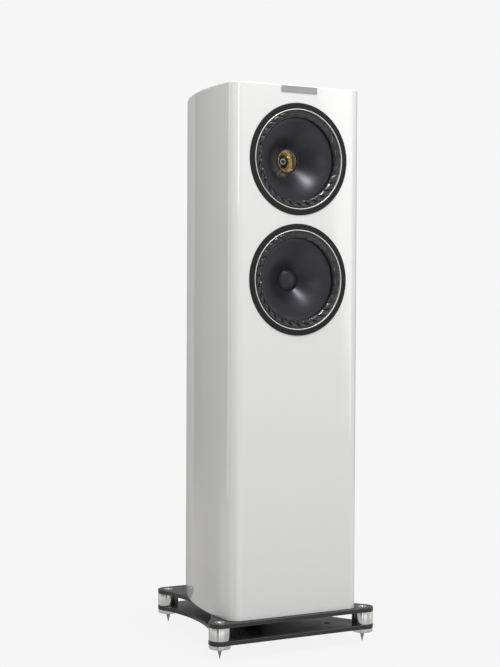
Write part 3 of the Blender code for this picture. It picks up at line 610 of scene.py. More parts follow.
class FinishLibrary:
    """Makes each finish's material once for each kind of coordinates."""

    WIPES_PER_METRE = 35.0
    MOTES_PER_METRE = 700.0
    DUST_COLOUR = (0.55, 0.54, 0.52)

    def __init__(self) -> None:
        """Start with no materials made."""
        self.groups = NodeGroups()
        self.made: dict[tuple[str, Coordinates], bpy.types.Material] = {}

    def get(self, name: str, source: Coordinates = Coordinates.LOCAL) -> bpy.types.Material:
        """The material of a finish.

        Args:
            name: A key of FINISHES.
            source: Where it reads its place from.

        Returns:
            The material, made on first use.
        """
        key = (name, source)
        if key not in self.made:
            self.made[key] = self.build(name, FINISHES[name], source)
        return self.made[key]

    def build(self, name: str, finish: Finish, source: Coordinates) -> bpy.types.Material:
        """Write a finish as a Principled material.

        Args:
            name: The finish's key.
            finish: What to write.
            source: Where the material reads its place from.

        Returns:
            The material.
        """
        material = bpy.data.materials.new(f"{name}_{source.value}")
        material.use_nodes = True
        material.diffuse_color = paint(finish.base)
        graph = Graph(material.node_tree)
        place = self.place(graph, source)
        pattern = self.groups.use(graph, finish.pattern.value, place, finish.scale)
        wiped = self.groups.use(graph, "Handling", place, self.WIPES_PER_METRE)
        dust = self.groups.use(graph, "Dust", place, self.MOTES_PER_METRE)

        shown = graph.remap(pattern, (0.3, 0.7), (0.0, 1.0))
        accent = graph.maths("MULTIPLY", shown, finish.contrast)
        tone = graph.mix(accent, finish.base, finish.accent)
        cover = graph.maths("MULTIPLY", dust, finish.dust)
        tone = graph.mix(cover, tone, self.DUST_COLOUR)
        uneven = graph.maths("MULTIPLY_ADD", wiped, 0.5, graph.maths("MULTIPLY", pattern, 0.5))
        bare = graph.remap(uneven, (0.1, 0.8), finish.roughness)
        gloss = graph.maths("ADD", bare, graph.maths("MULTIPLY", cover, 2.0), clamp=True)
        relief = {"Height": pattern, "Distance": finish.relief, "Strength": 1.0}
        normal = graph.add("ShaderNodeBump", relief)

        shader = material.node_tree.nodes["Principled BSDF"]
        values = {
            "Base Color": tone,
            "Roughness": gloss,
            "Metallic": finish.metallic,
            "Specular IOR Level": finish.specular,
            "Normal": normal,
        }
        if finish.coat > 0:
            values.update({"Coat Weight": finish.coat, "Coat Roughness": 0.03, "Coat Normal": normal})
        if finish.anisotropy > 0 and source is Coordinates.LOCAL:
            tangent = graph.add("ShaderNodeAttribute", output="Vector", attribute_name=LOCAL_TANGENT)
            in_world = graph.add(
                "ShaderNodeVectorTransform",
                {"Vector": tangent},
                vector_type="VECTOR",
                convert_from="OBJECT",
                convert_to="WORLD",
            )
            values.update({"Anisotropic": finish.anisotropy, "Tangent": in_world})
        for socket, value in values.items():
            graph.feed(shader.inputs[socket], value)
        return material

    @staticmethod
    def place(graph: Graph, source: Coordinates) -> Socket:
        """The coordinates that a material reads."""
        if source is Coordinates.LOCAL:
            return graph.add("ShaderNodeAttribute", output="Vector", attribute_name=LOCAL_POSITION)
        return graph.add("ShaderNodeTexCoord", output="Object")


# ---------------------------------------------------------------- shapes
def softened(outline: Sequence[Point], radius: float, steps: int = 3) -> list[Point]:
    """Round the corners of a closed outline that turn sharply.

    Args:
        outline: (radius, height) points in order; points on the axis keep their corner.
        radius: Distance from a corner at which its rounding starts.
        steps: Segments in each rounding.

    Returns:
        The rounded outline.
    """
    rounded: list[Point] = []
    count = len(outline)
    for i, corner in enumerate(outline):
        here = Vector(corner)
        before, after = Vector(outline[i - 1]) - here, Vector(outline[(i + 1) % count]) - here
        turn = math.pi - before.angle(after, math.pi)
        if corner[0] < 1e-6 or turn < math.radians(25):
            rounded.append(corner)
            continue
        start = here + before.normalized() * min(radius, before.length * 0.45)
        end = here + after.normalized() * min(radius, after.length * 0.45)
        for k in range(steps + 1):
            t = k / steps
            point = start * (1 - t) ** 2 + here * (2 * t * (1 - t)) + end * t**2
            rounded.append((point.x, point.y))
    return rounded


def turned(outline: Sequence[Point], steps: int) -> BMesh:
    """Turn a closed outline of (radius, height) about Z.

    Args:
        outline: The cross-section in order.
        steps: Sides of the turned piece.

    Returns:
        A closed mesh, facing out.
    """
    bm = bmesh.new()
    verts = [bm.verts.new((radius, 0.0, height)) for radius, height in outline]
    edges = [bm.edges.new((a, b)) for a, b in zip(verts, verts[1:] + verts[:1])]
    for edge in [e for e in edges if all(abs(v.co.x) < 1e-9 for v in e.verts)]:
        bm.edges.remove(edge)
    bmesh.ops.spin(
        bm,
        geom=list(bm.verts) + list(bm.edges),
        axis=(0.0, 0.0, 1.0),
        cent=(0.0, 0.0, 0.0),
        angle=2 * math.pi,
        steps=steps,
        use_merge=True,
    )
    bmesh.ops.remove_doubles(bm, verts=bm.verts, dist=1e-7)
    bmesh.ops.recalc_face_normals(bm, faces=bm.faces)
    return bm


def turned_back(outline: Sequence[Point], steps: int) -> BMesh:
    """Turn an outline of (radius, depth), where depth runs back from the baffle."""
    return turned([(radius, -depth) for radius, depth in outline], steps)


def ring(inner: float, outer: float, low: float, high: float) -> list[Point]:
    """The outline of a flat ring."""
    return [(inner, low), (outer, low), (outer, high), (inner, high)]


def arc(centre: Point, radius: float, start: float, end: float, steps: int) -> list[Point]:
    """Points of an arc in plan, both ends included.

    Args:
        centre: Its centre.
        radius: Its radius.
        start: The angle it starts at.
        end: The angle it ends at.
        steps: Segments along it.

    Returns:
        The points in order.
    """
    angles = [start + (end - start) * i / steps for i in range(steps + 1)]
    return [(centre[0] + radius * math.cos(a), centre[1] + radius * math.sin(a)) for a in angles]


def mirrored(half: list[Point]) -> list[Point]:
    """Close a right-hand half outline, given from front to back, with its mirror."""
    return half + [(-x, y) for x, y in reversed(half)]


def prism(outline: Sequence[Point], bottom: float, top: float) -> BMesh:
    """Extrude a closed outline in plan.

    Args:
        outline: Its (x, y) points in order.
        bottom: The height it starts at.
        top: The height it reaches.

    Returns:
        A closed mesh, facing out.
    """
    bm = bmesh.new()
    face = bm.faces.new([bm.verts.new((x, y, bottom)) for x, y in outline])
    grown = bmesh.ops.extrude_face_region(bm, geom=[face])["geom"]
    lifted = [v for v in grown if isinstance(v, bmesh.types.BMVert)]
    bmesh.ops.translate(bm, verts=lifted, vec=(0.0, 0.0, top - bottom))
    bmesh.ops.recalc_face_normals(bm, faces=bm.faces)
    return bm


def block(low: Vector, high: Vector) -> BMesh:
    """A box between two corners.

    Args:
        low: Its lowest corner.
        high: Its highest corner.

    Returns:
        A closed mesh.
    """
    bm = bmesh.new()
    bmesh.ops.create_cube(bm, size=1.0)
    bmesh.ops.scale(bm, vec=high - low, verts=bm.verts)
    bmesh.ops.translate(bm, vec=(low + high) / 2, verts=bm.verts)
    return bm


def bevel(
    bm: BMesh, edges: Sequence[bmesh.types.BMEdge], width: float, segments: int
) -> None:
    """Round edges with an even profile.

    Args:
        bm: The mesh.
        edges: Its edges to round.
        width: How far from the edge the rounding starts.
        segments: Steps in the rounding.
    """
    bmesh.ops.bevel(
        bm,
        geom=list(edges),
        offset=width,
        segments=segments,
        profile=0.5,
        affect="EDGES",
        material=-1,
    )


def level_edges(bm: BMesh, height: float) -> list[bmesh.types.BMEdge]:
    """Edges that lie in the plane z = height."""
    return [e for e in bm.edges if all(abs(v.co.z - height) < 1e-6 for v in e.verts)]


def moved(bm: BMesh, matrix: Matrix) -> BMesh:
    """Transform a whole mesh in place and return it."""
    bmesh.ops.transform(bm, matrix=matrix, verts=bm.verts)
    return bm


def joined(parts: Sequence[BMesh]) -> BMesh:
    """Put several meshes into one.

    Args:
        parts: The meshes; they are freed.

    Returns:
        The whole.
    """
    whole = bmesh.new()
    for part in parts:
        mesh = bpy.data.meshes.new("part")
        part.to_mesh(mesh)
        part.free()
        whole.from_mesh(mesh)
        bpy.data.meshes.remove(mesh)
    return whole


def carved(bm: BMesh, cutters: Sequence[BMesh]) -> BMesh:
    """Cut shapes out of a mesh.

    Args:
        bm: The mesh to cut; it is freed.
        cutters: Closed shapes to take away; they are freed.

    Returns:
        A new mesh without the cutters' volume.
    """

    def temporary(source: BMesh) -> bpy.types.Object:
        """An object that the boolean can read.

        Args:
            source: Its mesh; it is freed.

        Returns:
            The object.
        """
        mesh = bpy.data.meshes.new("carving")
        source.to_mesh(mesh)
        source.free()
        obj = bpy.data.objects.new("carving", mesh)
        bpy.context.scene.collection.objects.link(obj)
        return obj

    target = temporary(bm)
    knives = [temporary(cutter) for cutter in cutters]
    for knife in knives:
        modifier = target.modifiers.new("cut", "BOOLEAN")
        modifier.operation = "DIFFERENCE"
        modifier.solver = "EXACT"
        modifier.object = knife
    depsgraph = bpy.context.evaluated_depsgraph_get()
    result = bmesh.new()
    result.from_object(target, depsgraph)
    for obj in [target, *knives]:
        mesh = obj.data
        bpy.data.objects.remove(obj)
        bpy.data.meshes.remove(mesh)
    return result


class Workshop:
    """Turns finished meshes into pieces of the speaker."""

    def __init__(self) -> None:
        """Open the library of finishes."""
        self.finishes = FinishLibrary()

    def piece(
        self,
        name: str,
        bm: BMesh,
        finishes: str | Sequence[str],
        body: str | None,
        axis: Matrix | None = None,
        replaces: Sequence[str] = (),
        weighted: bool = False,
    ) -> bpy.types.Object:
        """Add one piece.

        Args:
            name: The piece's name.
            bm: Its mesh, about its own axis; it is freed.
            finishes: Keys of FINISHES, in the order of the mesh's material numbers.
            body: The CAD body it moves with, or None if it will bend between two.
            axis: Where its own axis goes; the world's origin if left out.
            replaces: CAD nodes that it stands for.
            weighted: Whether large flat faces should keep their own normals.

        Returns:
            The object, at the origin.
        """
        names = [finishes] if isinstance(finishes, str) else list(finishes)
        mesh = bpy.data.meshes.new(name)
        bm.to_mesh(mesh)
        bm.free()
        self.mark_local(mesh)
        mesh.transform(axis or Matrix.Identity(4))
        self.mark_tangent(mesh, axis or Matrix.Identity(4))
        mesh.shade_smooth()
        mesh.set_sharp_from_angle(angle=math.radians(32))
        for finish in names:
            mesh.materials.append(self.finishes.get(finish))
        obj = bpy.data.objects.new(name, mesh)
        bpy.context.scene.collection.objects.link(obj)
        if weighted:
            modifier = obj.modifiers.new("weighted", "WEIGHTED_NORMAL")
            modifier.keep_sharp = True
            modifier.weight = 80
        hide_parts(*replaces)
        if body:
            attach(obj, body)
        return obj

    @staticmethod
    def mark_local(mesh: bpy.types.Mesh) -> None:
        """Store each vertex's place about the piece's own axis."""
        attribute = mesh.attributes.new(LOCAL_POSITION, "FLOAT_VECTOR", "POINT")
        for vertex, item in zip(mesh.vertices, attribute.data):
            item.vector = vertex.co

    @staticmethod
    def mark_tangent(mesh: bpy.types.Mesh, axis: Matrix) -> None:
        """Store the direction that a lathe tool would run in.

        Args:
            mesh: A mesh with its local places marked.
            axis: Where its own axis went.
        """
        local = mesh.attributes[LOCAL_POSITION].data
        attribute = mesh.attributes.new(LOCAL_TANGENT, "FLOAT_VECTOR", "POINT")
        turn = axis.to_3x3()
        for place, item in zip(local, attribute.data):
            around = Vector((-place.vector.y, place.vector.x, 0.0))
            if around.length < 1e-6:
                around = Vector((1.0, 0.0, 0.0))
            item.vector = turn @ around.normalized()


# ---------------------------------------------------------------- cabinet
@dataclass(frozen=True)
class CabinetSizes:
    """What the CAD shell's box doesn't say about the cabinet."""

    rear_width: float = 0.154
    widest_depth: float = 0.053
    front_corner: float = 0.024
    rear_corner: float = 0.012
    top_edge: float = 0.003
    bottom_edge: float = 0.0008
    wall: float = 0.018
    rebate_radius: float = 0.1098
    rebate_depth: float = 0.008
    hole_radius: float = 0.098
    window: float = 0.056


class Cabinet:
    """Lacquered shell, rear panel and badge."""

    def __init__(self, workshop: Workshop, sizes: CabinetSizes = CabinetSizes()) -> None:
        """Read the shell's box.

        Args:
            workshop: Adds the pieces.
            sizes: The cabinet's sizes.
        """
        self.workshop = workshop
        self.sizes = sizes
        self.low, self.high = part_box("cabinet_shell")

    def driver_axis(self, driver: str) -> Matrix:
        """Where a driver's axis meets the baffle; local +Z points out of it.

        Args:
            driver: The driver's name.

        Returns:
            The axis as a transform.
        """
        low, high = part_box(f"{driver}_trim_ring")
        place = Vector(((low.x + high.x) / 2, self.low.y, (low.z + high.z) / 2))
        return Matrix.Translation(place) @ Matrix.Rotation(math.pi / 2, 4, "X")

    def outline(self, inset: float) -> list[Point]:
        """The plan: flat baffle, round corners, bowed sides and flat back.

        Args:
            inset: How far it lies inside the cabinet's surface.

        Returns:
            Its (x, y) points in order.
        """
        s = self.sizes
        half_width, depth = self.high.x, self.high.y - self.low.y
        bulge = half_width - s.rear_width / 2
        bow = ((depth - s.widest_depth) ** 2 + bulge**2) / (2 * bulge)
        centre = (half_width - bow, s.widest_depth)
        side = bow - inset

        def corner(radius: float, corner_depth: float) -> tuple[Point, float]:
            """Fit a corner's arc inside the bowed side.

            Args:
                radius: The arc's radius.
                corner_depth: How far back its centre is.

            Returns:
                Its centre, and the angle at which it meets the side.
            """
            across = math.sqrt((side - radius) ** 2 - (corner_depth - s.widest_depth) ** 2)
            angle = math.atan2(corner_depth - s.widest_depth, across)
            return (centre[0] + across, corner_depth), angle

        front_radius = s.front_corner - inset
        rear_radius = max(s.rear_corner - inset, 0.0)
        front, front_angle = corner(front_radius, inset + front_radius)
        rear, rear_angle = corner(rear_radius, depth - inset - rear_radius)
        half = arc(front, front_radius, -math.pi / 2, front_angle, 20)[:-1]
        half += arc(centre, side, front_angle, rear_angle, 48)
        if rear_radius > 0:
            half += arc(rear, rear_radius, rear_angle, math.pi / 2, 10)[1:]
        return mirrored([(x, self.low.y + y) for x, y in half])

    def build(self) -> None:
        """Make the shell, the rear panel and the badge."""
        self.build_shell()
        self.build_rear_panel()
        self.build_badge()

    def build_shell(self) -> None:
        """A one-piece wrap with a cavity, two rebated holes and a slot for the rear panel."""
        s = self.sizes
        shell = prism(self.outline(0.0), self.low.z, self.high.z)
        bevel(shell, level_edges(shell, self.high.z), s.top_edge, 5)
        bevel(shell, level_edges(shell, self.low.z), s.bottom_edge, 2)
        below, ceiling = self.low.z - s.wall, self.high.z - s.wall
        panel_low, panel_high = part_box("rear_panel")
        slot_low = Vector((panel_low.x - GAP, panel_low.y - s.wall, below))
        slot_high = Vector((panel_high.x + GAP, panel_high.y + s.wall, ceiling))
        rebate = [
            (0.0, -s.wall),
            (s.rebate_radius, -s.wall),
            (s.rebate_radius, s.rebate_depth),
            (s.hole_radius, s.rebate_depth),
            (s.hole_radius, 2 * s.wall),
            (0.0, 2 * s.wall),
        ]
        cutters = [prism(self.outline(s.wall), below, ceiling), block(slot_low, slot_high)]
        for driver in ("coax", "bass"):
            cutters.append(moved(turned_back(rebate, 160), self.driver_axis(driver)))
        shell = carved(shell, cutters)
        self.workshop.piece(
            "shell_lacquered", shell, "lacquer", "cabinet", replaces=["cabinet_shell"], weighted=True
        )

    def build_rear_panel(self) -> None:
        """The flat back, with the window that the terminal plate covers."""
        low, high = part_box("rear_panel")
        window = middle("terminal_plate")
        window.y = high.y
        reach = Vector((self.sizes.window / 2, 2 * self.sizes.wall, self.sizes.window / 2))
        panel = block(low, high)
        bevel(panel, panel.edges, self.sizes.bottom_edge, 2)
        panel = carved(panel, [block(window - reach, window + reach)])
        self.workshop.piece(
            "back_lacquered", panel, "lacquer", "cabinet", replaces=["rear_panel"], weighted=True
        )

    def build_badge(self) -> None:
        """A plain plate with a fine raised border."""
        low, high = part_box("badge")
        badge = block(low, high)
        bevel(badge, badge.edges, 0.0003, 2)
        front = min(badge.faces, key=lambda face: face.calc_center_median().y)
        bmesh.ops.inset_region(badge, faces=[front], thickness=0.0007, depth=0.0)
        bmesh.ops.inset_region(badge, faces=[front], thickness=0.0002, depth=-0.00025)
        self.workshop.piece("badge_plain", badge, "badge", "cabinet", replaces=["badge"], weighted=True)


# ---------------------------------------------------------------- drivers
@dataclass(frozen=True)
class DriverSizes:
    """One driver, in metres; depths run back from the baffle."""

    name: str
    neck_radius: float
    neck_depth: float
    rim_radius: float = 0.1095
    rim_proud: float = 0.002
    chrome_outer: float = 0.0982
    rim_inner: float = 0.0965
    rim_back: float = 0.003
    lip_radius: float = 0.0962
    lip_depth: float = 0.0026
    roll_outer: float = 0.0947
    roll_inner: float = 0.0806
    roll_height: float = 0.0066
    roll_fullness: float = 0.75
    rubber: float = 0.0012
    cone_radius: float = 0.0796
    cone_edge_depth: float = 0.0075
    cone_thickness: float = 0.001
    cone_curve: float = 1.5
    spider_outer: float = 0.0567
    spider_flat: float = 0.048
    spider_below_neck: float = 0.0055
    spider_thickness: float = 0.0008
    spider_wave: float = 0.0012
    spider_waves: int = 5
    flutes: int = 30
    flute_height: float = 0.0034
    flute_twist: float = 0.20
    flute_slope: float = 0.86
    flute_sharpness: float = 2.5
    flute_fullness: float = 0.7
    flute_taper: float = 0.4

    def cone_depth(self, radius: float) -> float:
        """Depth of the cone's front face.

        Args:
            radius: Distance from the axis.

        Returns:
            The depth back from the baffle.
        """
        share = (self.cone_radius - radius) / (self.cone_radius - self.neck_radius)
        drop = self.neck_depth - self.cone_edge_depth
        return self.cone_edge_depth + drop * share**self.cone_curve


def share_across(point: Vector, outer: float, inner: float) -> float:
    """How far a point is from an outer radius to an inner one, from 0 to 1."""
    return min(max((outer - math.hypot(point.x, point.y)) / (outer - inner), 0.0), 1.0)


COAX = DriverSizes("coax", neck_radius=0.0246, neck_depth=0.044)
BASS = DriverSizes("bass", neck_radius=0.0201, neck_depth=0.0415)


class Driver:
    """The rings, surround and cone that both drivers have."""

    def __init__(self, workshop: Workshop, cabinet: Cabinet, sizes: DriverSizes) -> None:
        """Find the driver's axis.

        Args:
            workshop: Adds the pieces.
            cabinet: Holds the baffle.
            sizes: The driver's sizes.
        """
        self.workshop = workshop
        self.sizes = sizes
        self.axis = cabinet.driver_axis(sizes.name)
        self.moving = f"{sizes.name}_diaphragm"

    def name(self, part: str) -> str:
        """A part's name on this driver."""
        return f"{self.sizes.name}_{part}"

    def spin(
        self, name: str, outline: Sequence[Point], sides: int, finish: str, body: str = "cabinet",
        replaces: Sequence[str] = (),
    ) -> None:
        """Add a piece turned about the driver's axis.

        Args:
            name: The piece's name.
            outline: Its (radius, depth) outline.
            sides: Its number of sides.
            finish: A key of FINISHES.
            body: The CAD body it moves with.
            replaces: CAD nodes that it stands for.
        """
        piece = turned_back(outline, sides)
        self.workshop.piece(name, piece, finish, body, self.axis, replaces)

    def build(self) -> None:
        """Make this driver's pieces."""
        self.build_rings()
        self.build_surround()
        self.build_cone()
        self.build_spider()

    def build_rings(self) -> None:
        """A dark satin trim ring around a thin bright one."""
        s = self.sizes
        dark = [
            (s.chrome_outer + GAP / 3, s.rim_back),
            (s.chrome_outer + GAP / 3, -s.rim_proud + 0.0006),
            (s.chrome_outer + 0.0009, -s.rim_proud + 0.0002),
            (s.rim_radius - 0.0026, -s.rim_proud),
            (s.rim_radius - 0.0010, -s.rim_proud + 0.0002),
            (s.rim_radius, -s.rim_proud + 0.0012),
            (s.rim_radius, s.rim_back),
        ]
        node = self.name("trim_ring")
        self.spin(
            self.name("ring_dark"), softened(dark, 0.0003), 192, "satin_ring", replaces=[node]
        )
        bright = [
            (s.rim_inner, s.rim_back),
            (s.rim_inner, -s.rim_proud + 0.0002),
            (s.rim_inner + 0.0005, -s.rim_proud - 0.0003),
            (s.chrome_outer - 0.0005, -s.rim_proud - 0.0003),
            (s.chrome_outer, -s.rim_proud + 0.0002),
            (s.chrome_outer, s.rim_back),
        ]
        self.spin(self.name("ring_bright"), softened(bright, 0.0004, 4), 192, "ring_chrome")

    def roll(self, steps: int, offset: float, shrink: float) -> list[Point]:
        """The half roll from its outer to its inner edge.

        Args:
            steps: Segments across it.
            offset: How far back this face lies.
            shrink: How much narrower and lower this face is.

        Returns:
            Its (radius, depth) points.
        """
        s = self.sizes
        middle = (s.roll_outer + s.roll_inner) / 2
        half_width = (s.roll_outer - s.roll_inner) / 2 - shrink
        inner_base = s.cone_edge_depth - s.rubber
        points = []
        for i in range(steps + 1):
            share = i / steps
            base = s.lip_depth + (inner_base - s.lip_depth) * share + offset
            rise = (s.roll_height - shrink) * max(math.sin(math.pi * share), 0.0) ** s.roll_fullness
            points.append((middle + half_width * math.cos(math.pi * share), base - rise))
        return points

    def build_surround(self) -> None:
        """A rubber roll with slanted saw-tooth flutes, fixed outside and moving inside."""
        s = self.sizes
        front = self.roll(26, 0.0, 0.0)
        back = self.roll(10, s.rubber, s.rubber)
        inner = s.cone_radius + GAP
        lip_back = s.rim_back + 0.0003
        outline = (
            [(s.lip_radius, s.lip_depth)]
            + front
            + [(inner, front[-1][1]), (inner, back[-1][1])]
            + list(reversed(back))
            + [(back[0][0], lip_back), (s.lip_radius, lip_back)]
        )
        surround = turned_back(outline, s.flutes * 16)
        for vertex in surround.verts:
            self.flute(vertex)
        bmesh.ops.recalc_face_normals(surround, faces=surround.faces)
        node = self.name("surround")
        self.bend(node, f"{node}_fluted", surround, "rubber", s.roll_outer, s.roll_inner)

    def bend(
        self, node: str, name: str, ring_mesh: BMesh, finish: str, outer: float, inner: float
    ) -> None:
        """Add a ring that follows the cabinet outside and the cone inside.

        Args:
            node: The CAD node that it stands for.
            name: The piece's name.
            ring_mesh: Its mesh, about the driver's axis.
            finish: A key of FINISHES.
            outer: The radius from which it stays with the cabinet.
            inner: The radius from which it moves with the cone.
        """
        obj = self.workshop.piece(name, ring_mesh, finish, None, self.axis, [node])
        ends = [self.axis @ Vector((radius, 0.0, 0.0)) for radius in (outer, inner)]
        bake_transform(obj, "cabinet", self.moving, *ends)
        weights = obj.data.attributes["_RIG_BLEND"].data
        places = obj.data.attributes[LOCAL_POSITION].data
        for weight, place in zip(weights, places):
            share = share_across(place.vector, outer, inner)
            weight.value = share * share * (3 - 2 * share)

    def build_spider(self) -> None:
        """A pressed cloth ring with even waves, from the basket's shelf to the cone's neck."""
        s = self.sizes
        inner = s.neck_radius + GAP
        base = s.neck_depth + s.spider_below_neck
        steps = 10 * s.spider_waves
        front = [(s.spider_outer, base)]
        for i in range(steps + 1):
            share = i / steps
            wave = 1 - math.cos(2 * math.pi * s.spider_waves * share)
            front.append((s.spider_flat + (inner - s.spider_flat) * share, base - s.spider_wave * wave))
        back = [(radius, depth + s.spider_thickness) for radius, depth in reversed(front)]
        node = self.name("spider")
        pressed = turned_back(front + back, 96)
        self.bend(node, f"{node}_pressed", pressed, "cloth", s.spider_flat, inner)

    def flute(self, vertex: bmesh.types.BMVert) -> None:
        """Sink one vertex of the roll along a saw tooth and slant it around the axis.

        Args:
            vertex: The vertex to move.
        """
        s = self.sizes
        share = share_across(vertex.co, s.roll_outer, s.roll_inner)
        angle = math.atan2(vertex.co.y, vertex.co.x)
        tooth = (-angle * s.flutes / (2 * math.pi)) % 1.0
        if tooth < s.flute_slope:
            dip = (1 - tooth / s.flute_slope) ** s.flute_sharpness
        else:
            dip = (tooth - s.flute_slope) / (1 - s.flute_slope)
        across = math.sin(math.pi * share) ** s.flute_fullness * (1 - s.flute_taper * share)
        lift = -s.flute_height * dip * across
        radius = math.hypot(vertex.co.x, vertex.co.y)
        slanted = angle - s.flute_twist * share
        vertex.co = Vector((radius * math.cos(slanted), radius * math.sin(slanted), vertex.co.z + lift))

    def build_cone(self) -> None:
        """A thin spun cone, steeper towards its neck."""
        s = self.sizes
        steps = 44
        reach = s.neck_radius - s.cone_radius
        radii = [s.cone_radius + reach * i / steps for i in range(steps + 1)]
        front = [(radius, s.cone_depth(radius)) for radius in radii]
        back = [(radius, depth + s.cone_thickness) for radius, depth in reversed(front[::4])]
        node = self.name("cone")
        self.spin(f"{node}_spun", front + back, 160, "cone", self.moving, [node])


@dataclass(frozen=True)
class HornSizes:
    """The high-frequency unit in the coaxial driver's throat."""

    front: float
    length: float
    mouth_radius: float = 0.0205
    wall: float = 0.0009
    throat_radius: float = 0.0097
    curve: float = 1.6
    plug_radius: float = 0.0076
    plug_thickness: float = 0.002
    plug_ring: float = 0.0050
    dome_radius: float = 0.0092
    dome_height: float = 0.003
    dome_thickness: float = 0.0005
    collar_bore: float = 0.0224
    fin_half_width: float = 0.0008


def dome_outline(
    radius: float, height: float, thickness: float, base: float, steps: int
) -> list[Point]:
    """A thin dome with its open rim facing back.

    Args:
        radius: Its rim's radius.
        height: Its height over its rim.
        thickness: Its wall.
        base: Depth of its rim.
        steps: Segments from the rim to the middle.

    Returns:
        Its (radius, depth) outline.
    """
    sphere = (radius**2 + height**2) / (2 * height)
    half_angle = math.asin(radius / sphere)
    faces: list[list[Point]] = []
    for shell in (sphere, sphere - thickness):
        angles = [half_angle * (steps - i) / steps for i in range(steps + 1)]
        faces.append(
            [(shell * math.sin(a), base - shell * math.cos(a) + sphere - height) for a in angles]
        )
    return faces[0] + list(reversed(faces[1]))


class CoaxialDriver(Driver):
    """The upper driver, with a horn and a dome on its pole."""

    def __init__(self, workshop: Workshop, cabinet: Cabinet) -> None:
        """Read the horn's depth from its CAD node."""
        super().__init__(workshop, cabinet, COAX)
        low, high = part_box("horn_throat")
        self.horn = HornSizes(front=low.y - cabinet.low.y, length=high.y - low.y)

    def build(self) -> None:
        """Make the driver and its high-frequency unit."""
        super().build()
        self.build_horn()
        self.build_plug()
        self.build_dome()
        s = self.sizes
        face = s.neck_depth - 0.0004
        collar = ring(self.horn.collar_bore, s.neck_radius - GAP, face, s.neck_depth + 0.0002)
        self.spin("coax_collar", collar, 96, "cone", self.moving)

    def build_horn(self) -> None:
        """A flared horn with a bright bead round its mouth."""
        h = self.horn
        end = h.front + h.length
        steps = 28
        inside = []
        for i in range(steps + 1):
            depth = h.front + h.length * i / steps
            to_throat = (end - depth) / h.length if i < steps else 0.0
            flare = (h.mouth_radius - h.throat_radius) * to_throat**h.curve
            inside.append((h.throat_radius + flare, depth))
        outer = h.mouth_radius + h.wall
        outline = inside + [(outer, end), (outer, h.front)]
        self.spin("horn_flared", outline, 128, "gold", replaces=["horn_throat"])
        bead = arc((h.mouth_radius + h.wall / 2, h.front), h.wall * 0.4, 0.0, 2 * math.pi, 12)[:-1]
        self.spin("horn_bead", bead, 128, "bead_metal")

    def build_plug(self) -> None:
        """A black phase plug on three fins, with a fine bright ring."""
        h = self.horn
        front = h.front + h.length - h.plug_thickness - GAP
        back = front + h.plug_thickness
        body = [
            (0.0, front + 0.0014),
            (h.plug_ring - 0.0010, front + 0.0014),
            (h.plug_ring - 0.0006, front),
            (h.plug_radius, front + 0.0005),
            (h.plug_radius, back),
            (0.0, back),
        ]
        parts = [turned_back(softened(body, 0.0003), 96)]
        for i in range(3):
            turn = Matrix.Rotation(math.pi / 2 + 2 * math.pi * i / 3, 4, "Z")
            fin = block(
                Vector((h.plug_radius - 0.0004, -h.fin_half_width, -back)),
                Vector((h.throat_radius - GAP, h.fin_half_width, -front - 0.0002)),
            )
            bevel(fin, fin.edges, 0.0002, 2)
            parts.append(moved(fin, turn))
        self.workshop.piece(
            "phase_plug_turned", joined(parts), "plastic", "cabinet", self.axis, ["phase_plug"]
        )
        bright = arc((h.plug_ring, front), 0.0006, 0.0, 2 * math.pi, 10)[:-1]
        self.spin("phase_plug_ring", bright, 96, "ring_chrome")

    def build_dome(self) -> None:
        """The thin metal dome behind the plug."""
        h = self.horn
        _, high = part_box("hf_dome")
        base = high.y - self.axis.translation.y
        outline = dome_outline(h.dome_radius, h.dome_height, h.dome_thickness, base, 14)
        self.spin("hf_dome_spun", outline, 96, "dome", "hf_diaphragm", ["hf_dome"])


class BassDriver(Driver):
    """The lower driver, with a dust cap."""

    CAP_RADIUS = 0.0215
    CAP_HEIGHT = 0.008
    CAP_THICKNESS = 0.0008

    def __init__(self, workshop: Workshop, cabinet: Cabinet) -> None:
        """Take the bass driver's sizes."""
        super().__init__(workshop, cabinet, BASS)

    def build(self) -> None:
        """Make the driver and its dust cap."""
        super().build()
        base = self.sizes.cone_depth(self.CAP_RADIUS) - 2 * GAP
        outline = dome_outline(self.CAP_RADIUS, self.CAP_HEIGHT, self.CAP_THICKNESS, base, 24)
        self.spin("bass_cap_domed", outline, 128, "cone", self.moving, ["bass_dust_cap"])


# ---------------------------------------------------------------- plinth and feet
@dataclass(frozen=True)
class PlinthSizes:
    """The two plates and what passes through them."""

    lobe_radius: float = 0.022
    waist_radius: float = 0.345
    edge: float = 0.0009
    chamfer: float = 0.0004
    adjuster_hole: float = 0.0106
    spike_hole: float = 0.00465
    outlet_radius: float = 0.037
    access_radius: float = 0.0065
    access_inset: Point = (0.065, 0.0306)


def middle(node: str) -> Vector:
    """The middle of a CAD node's box."""
    low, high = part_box(node)
    return (low + high) / 2


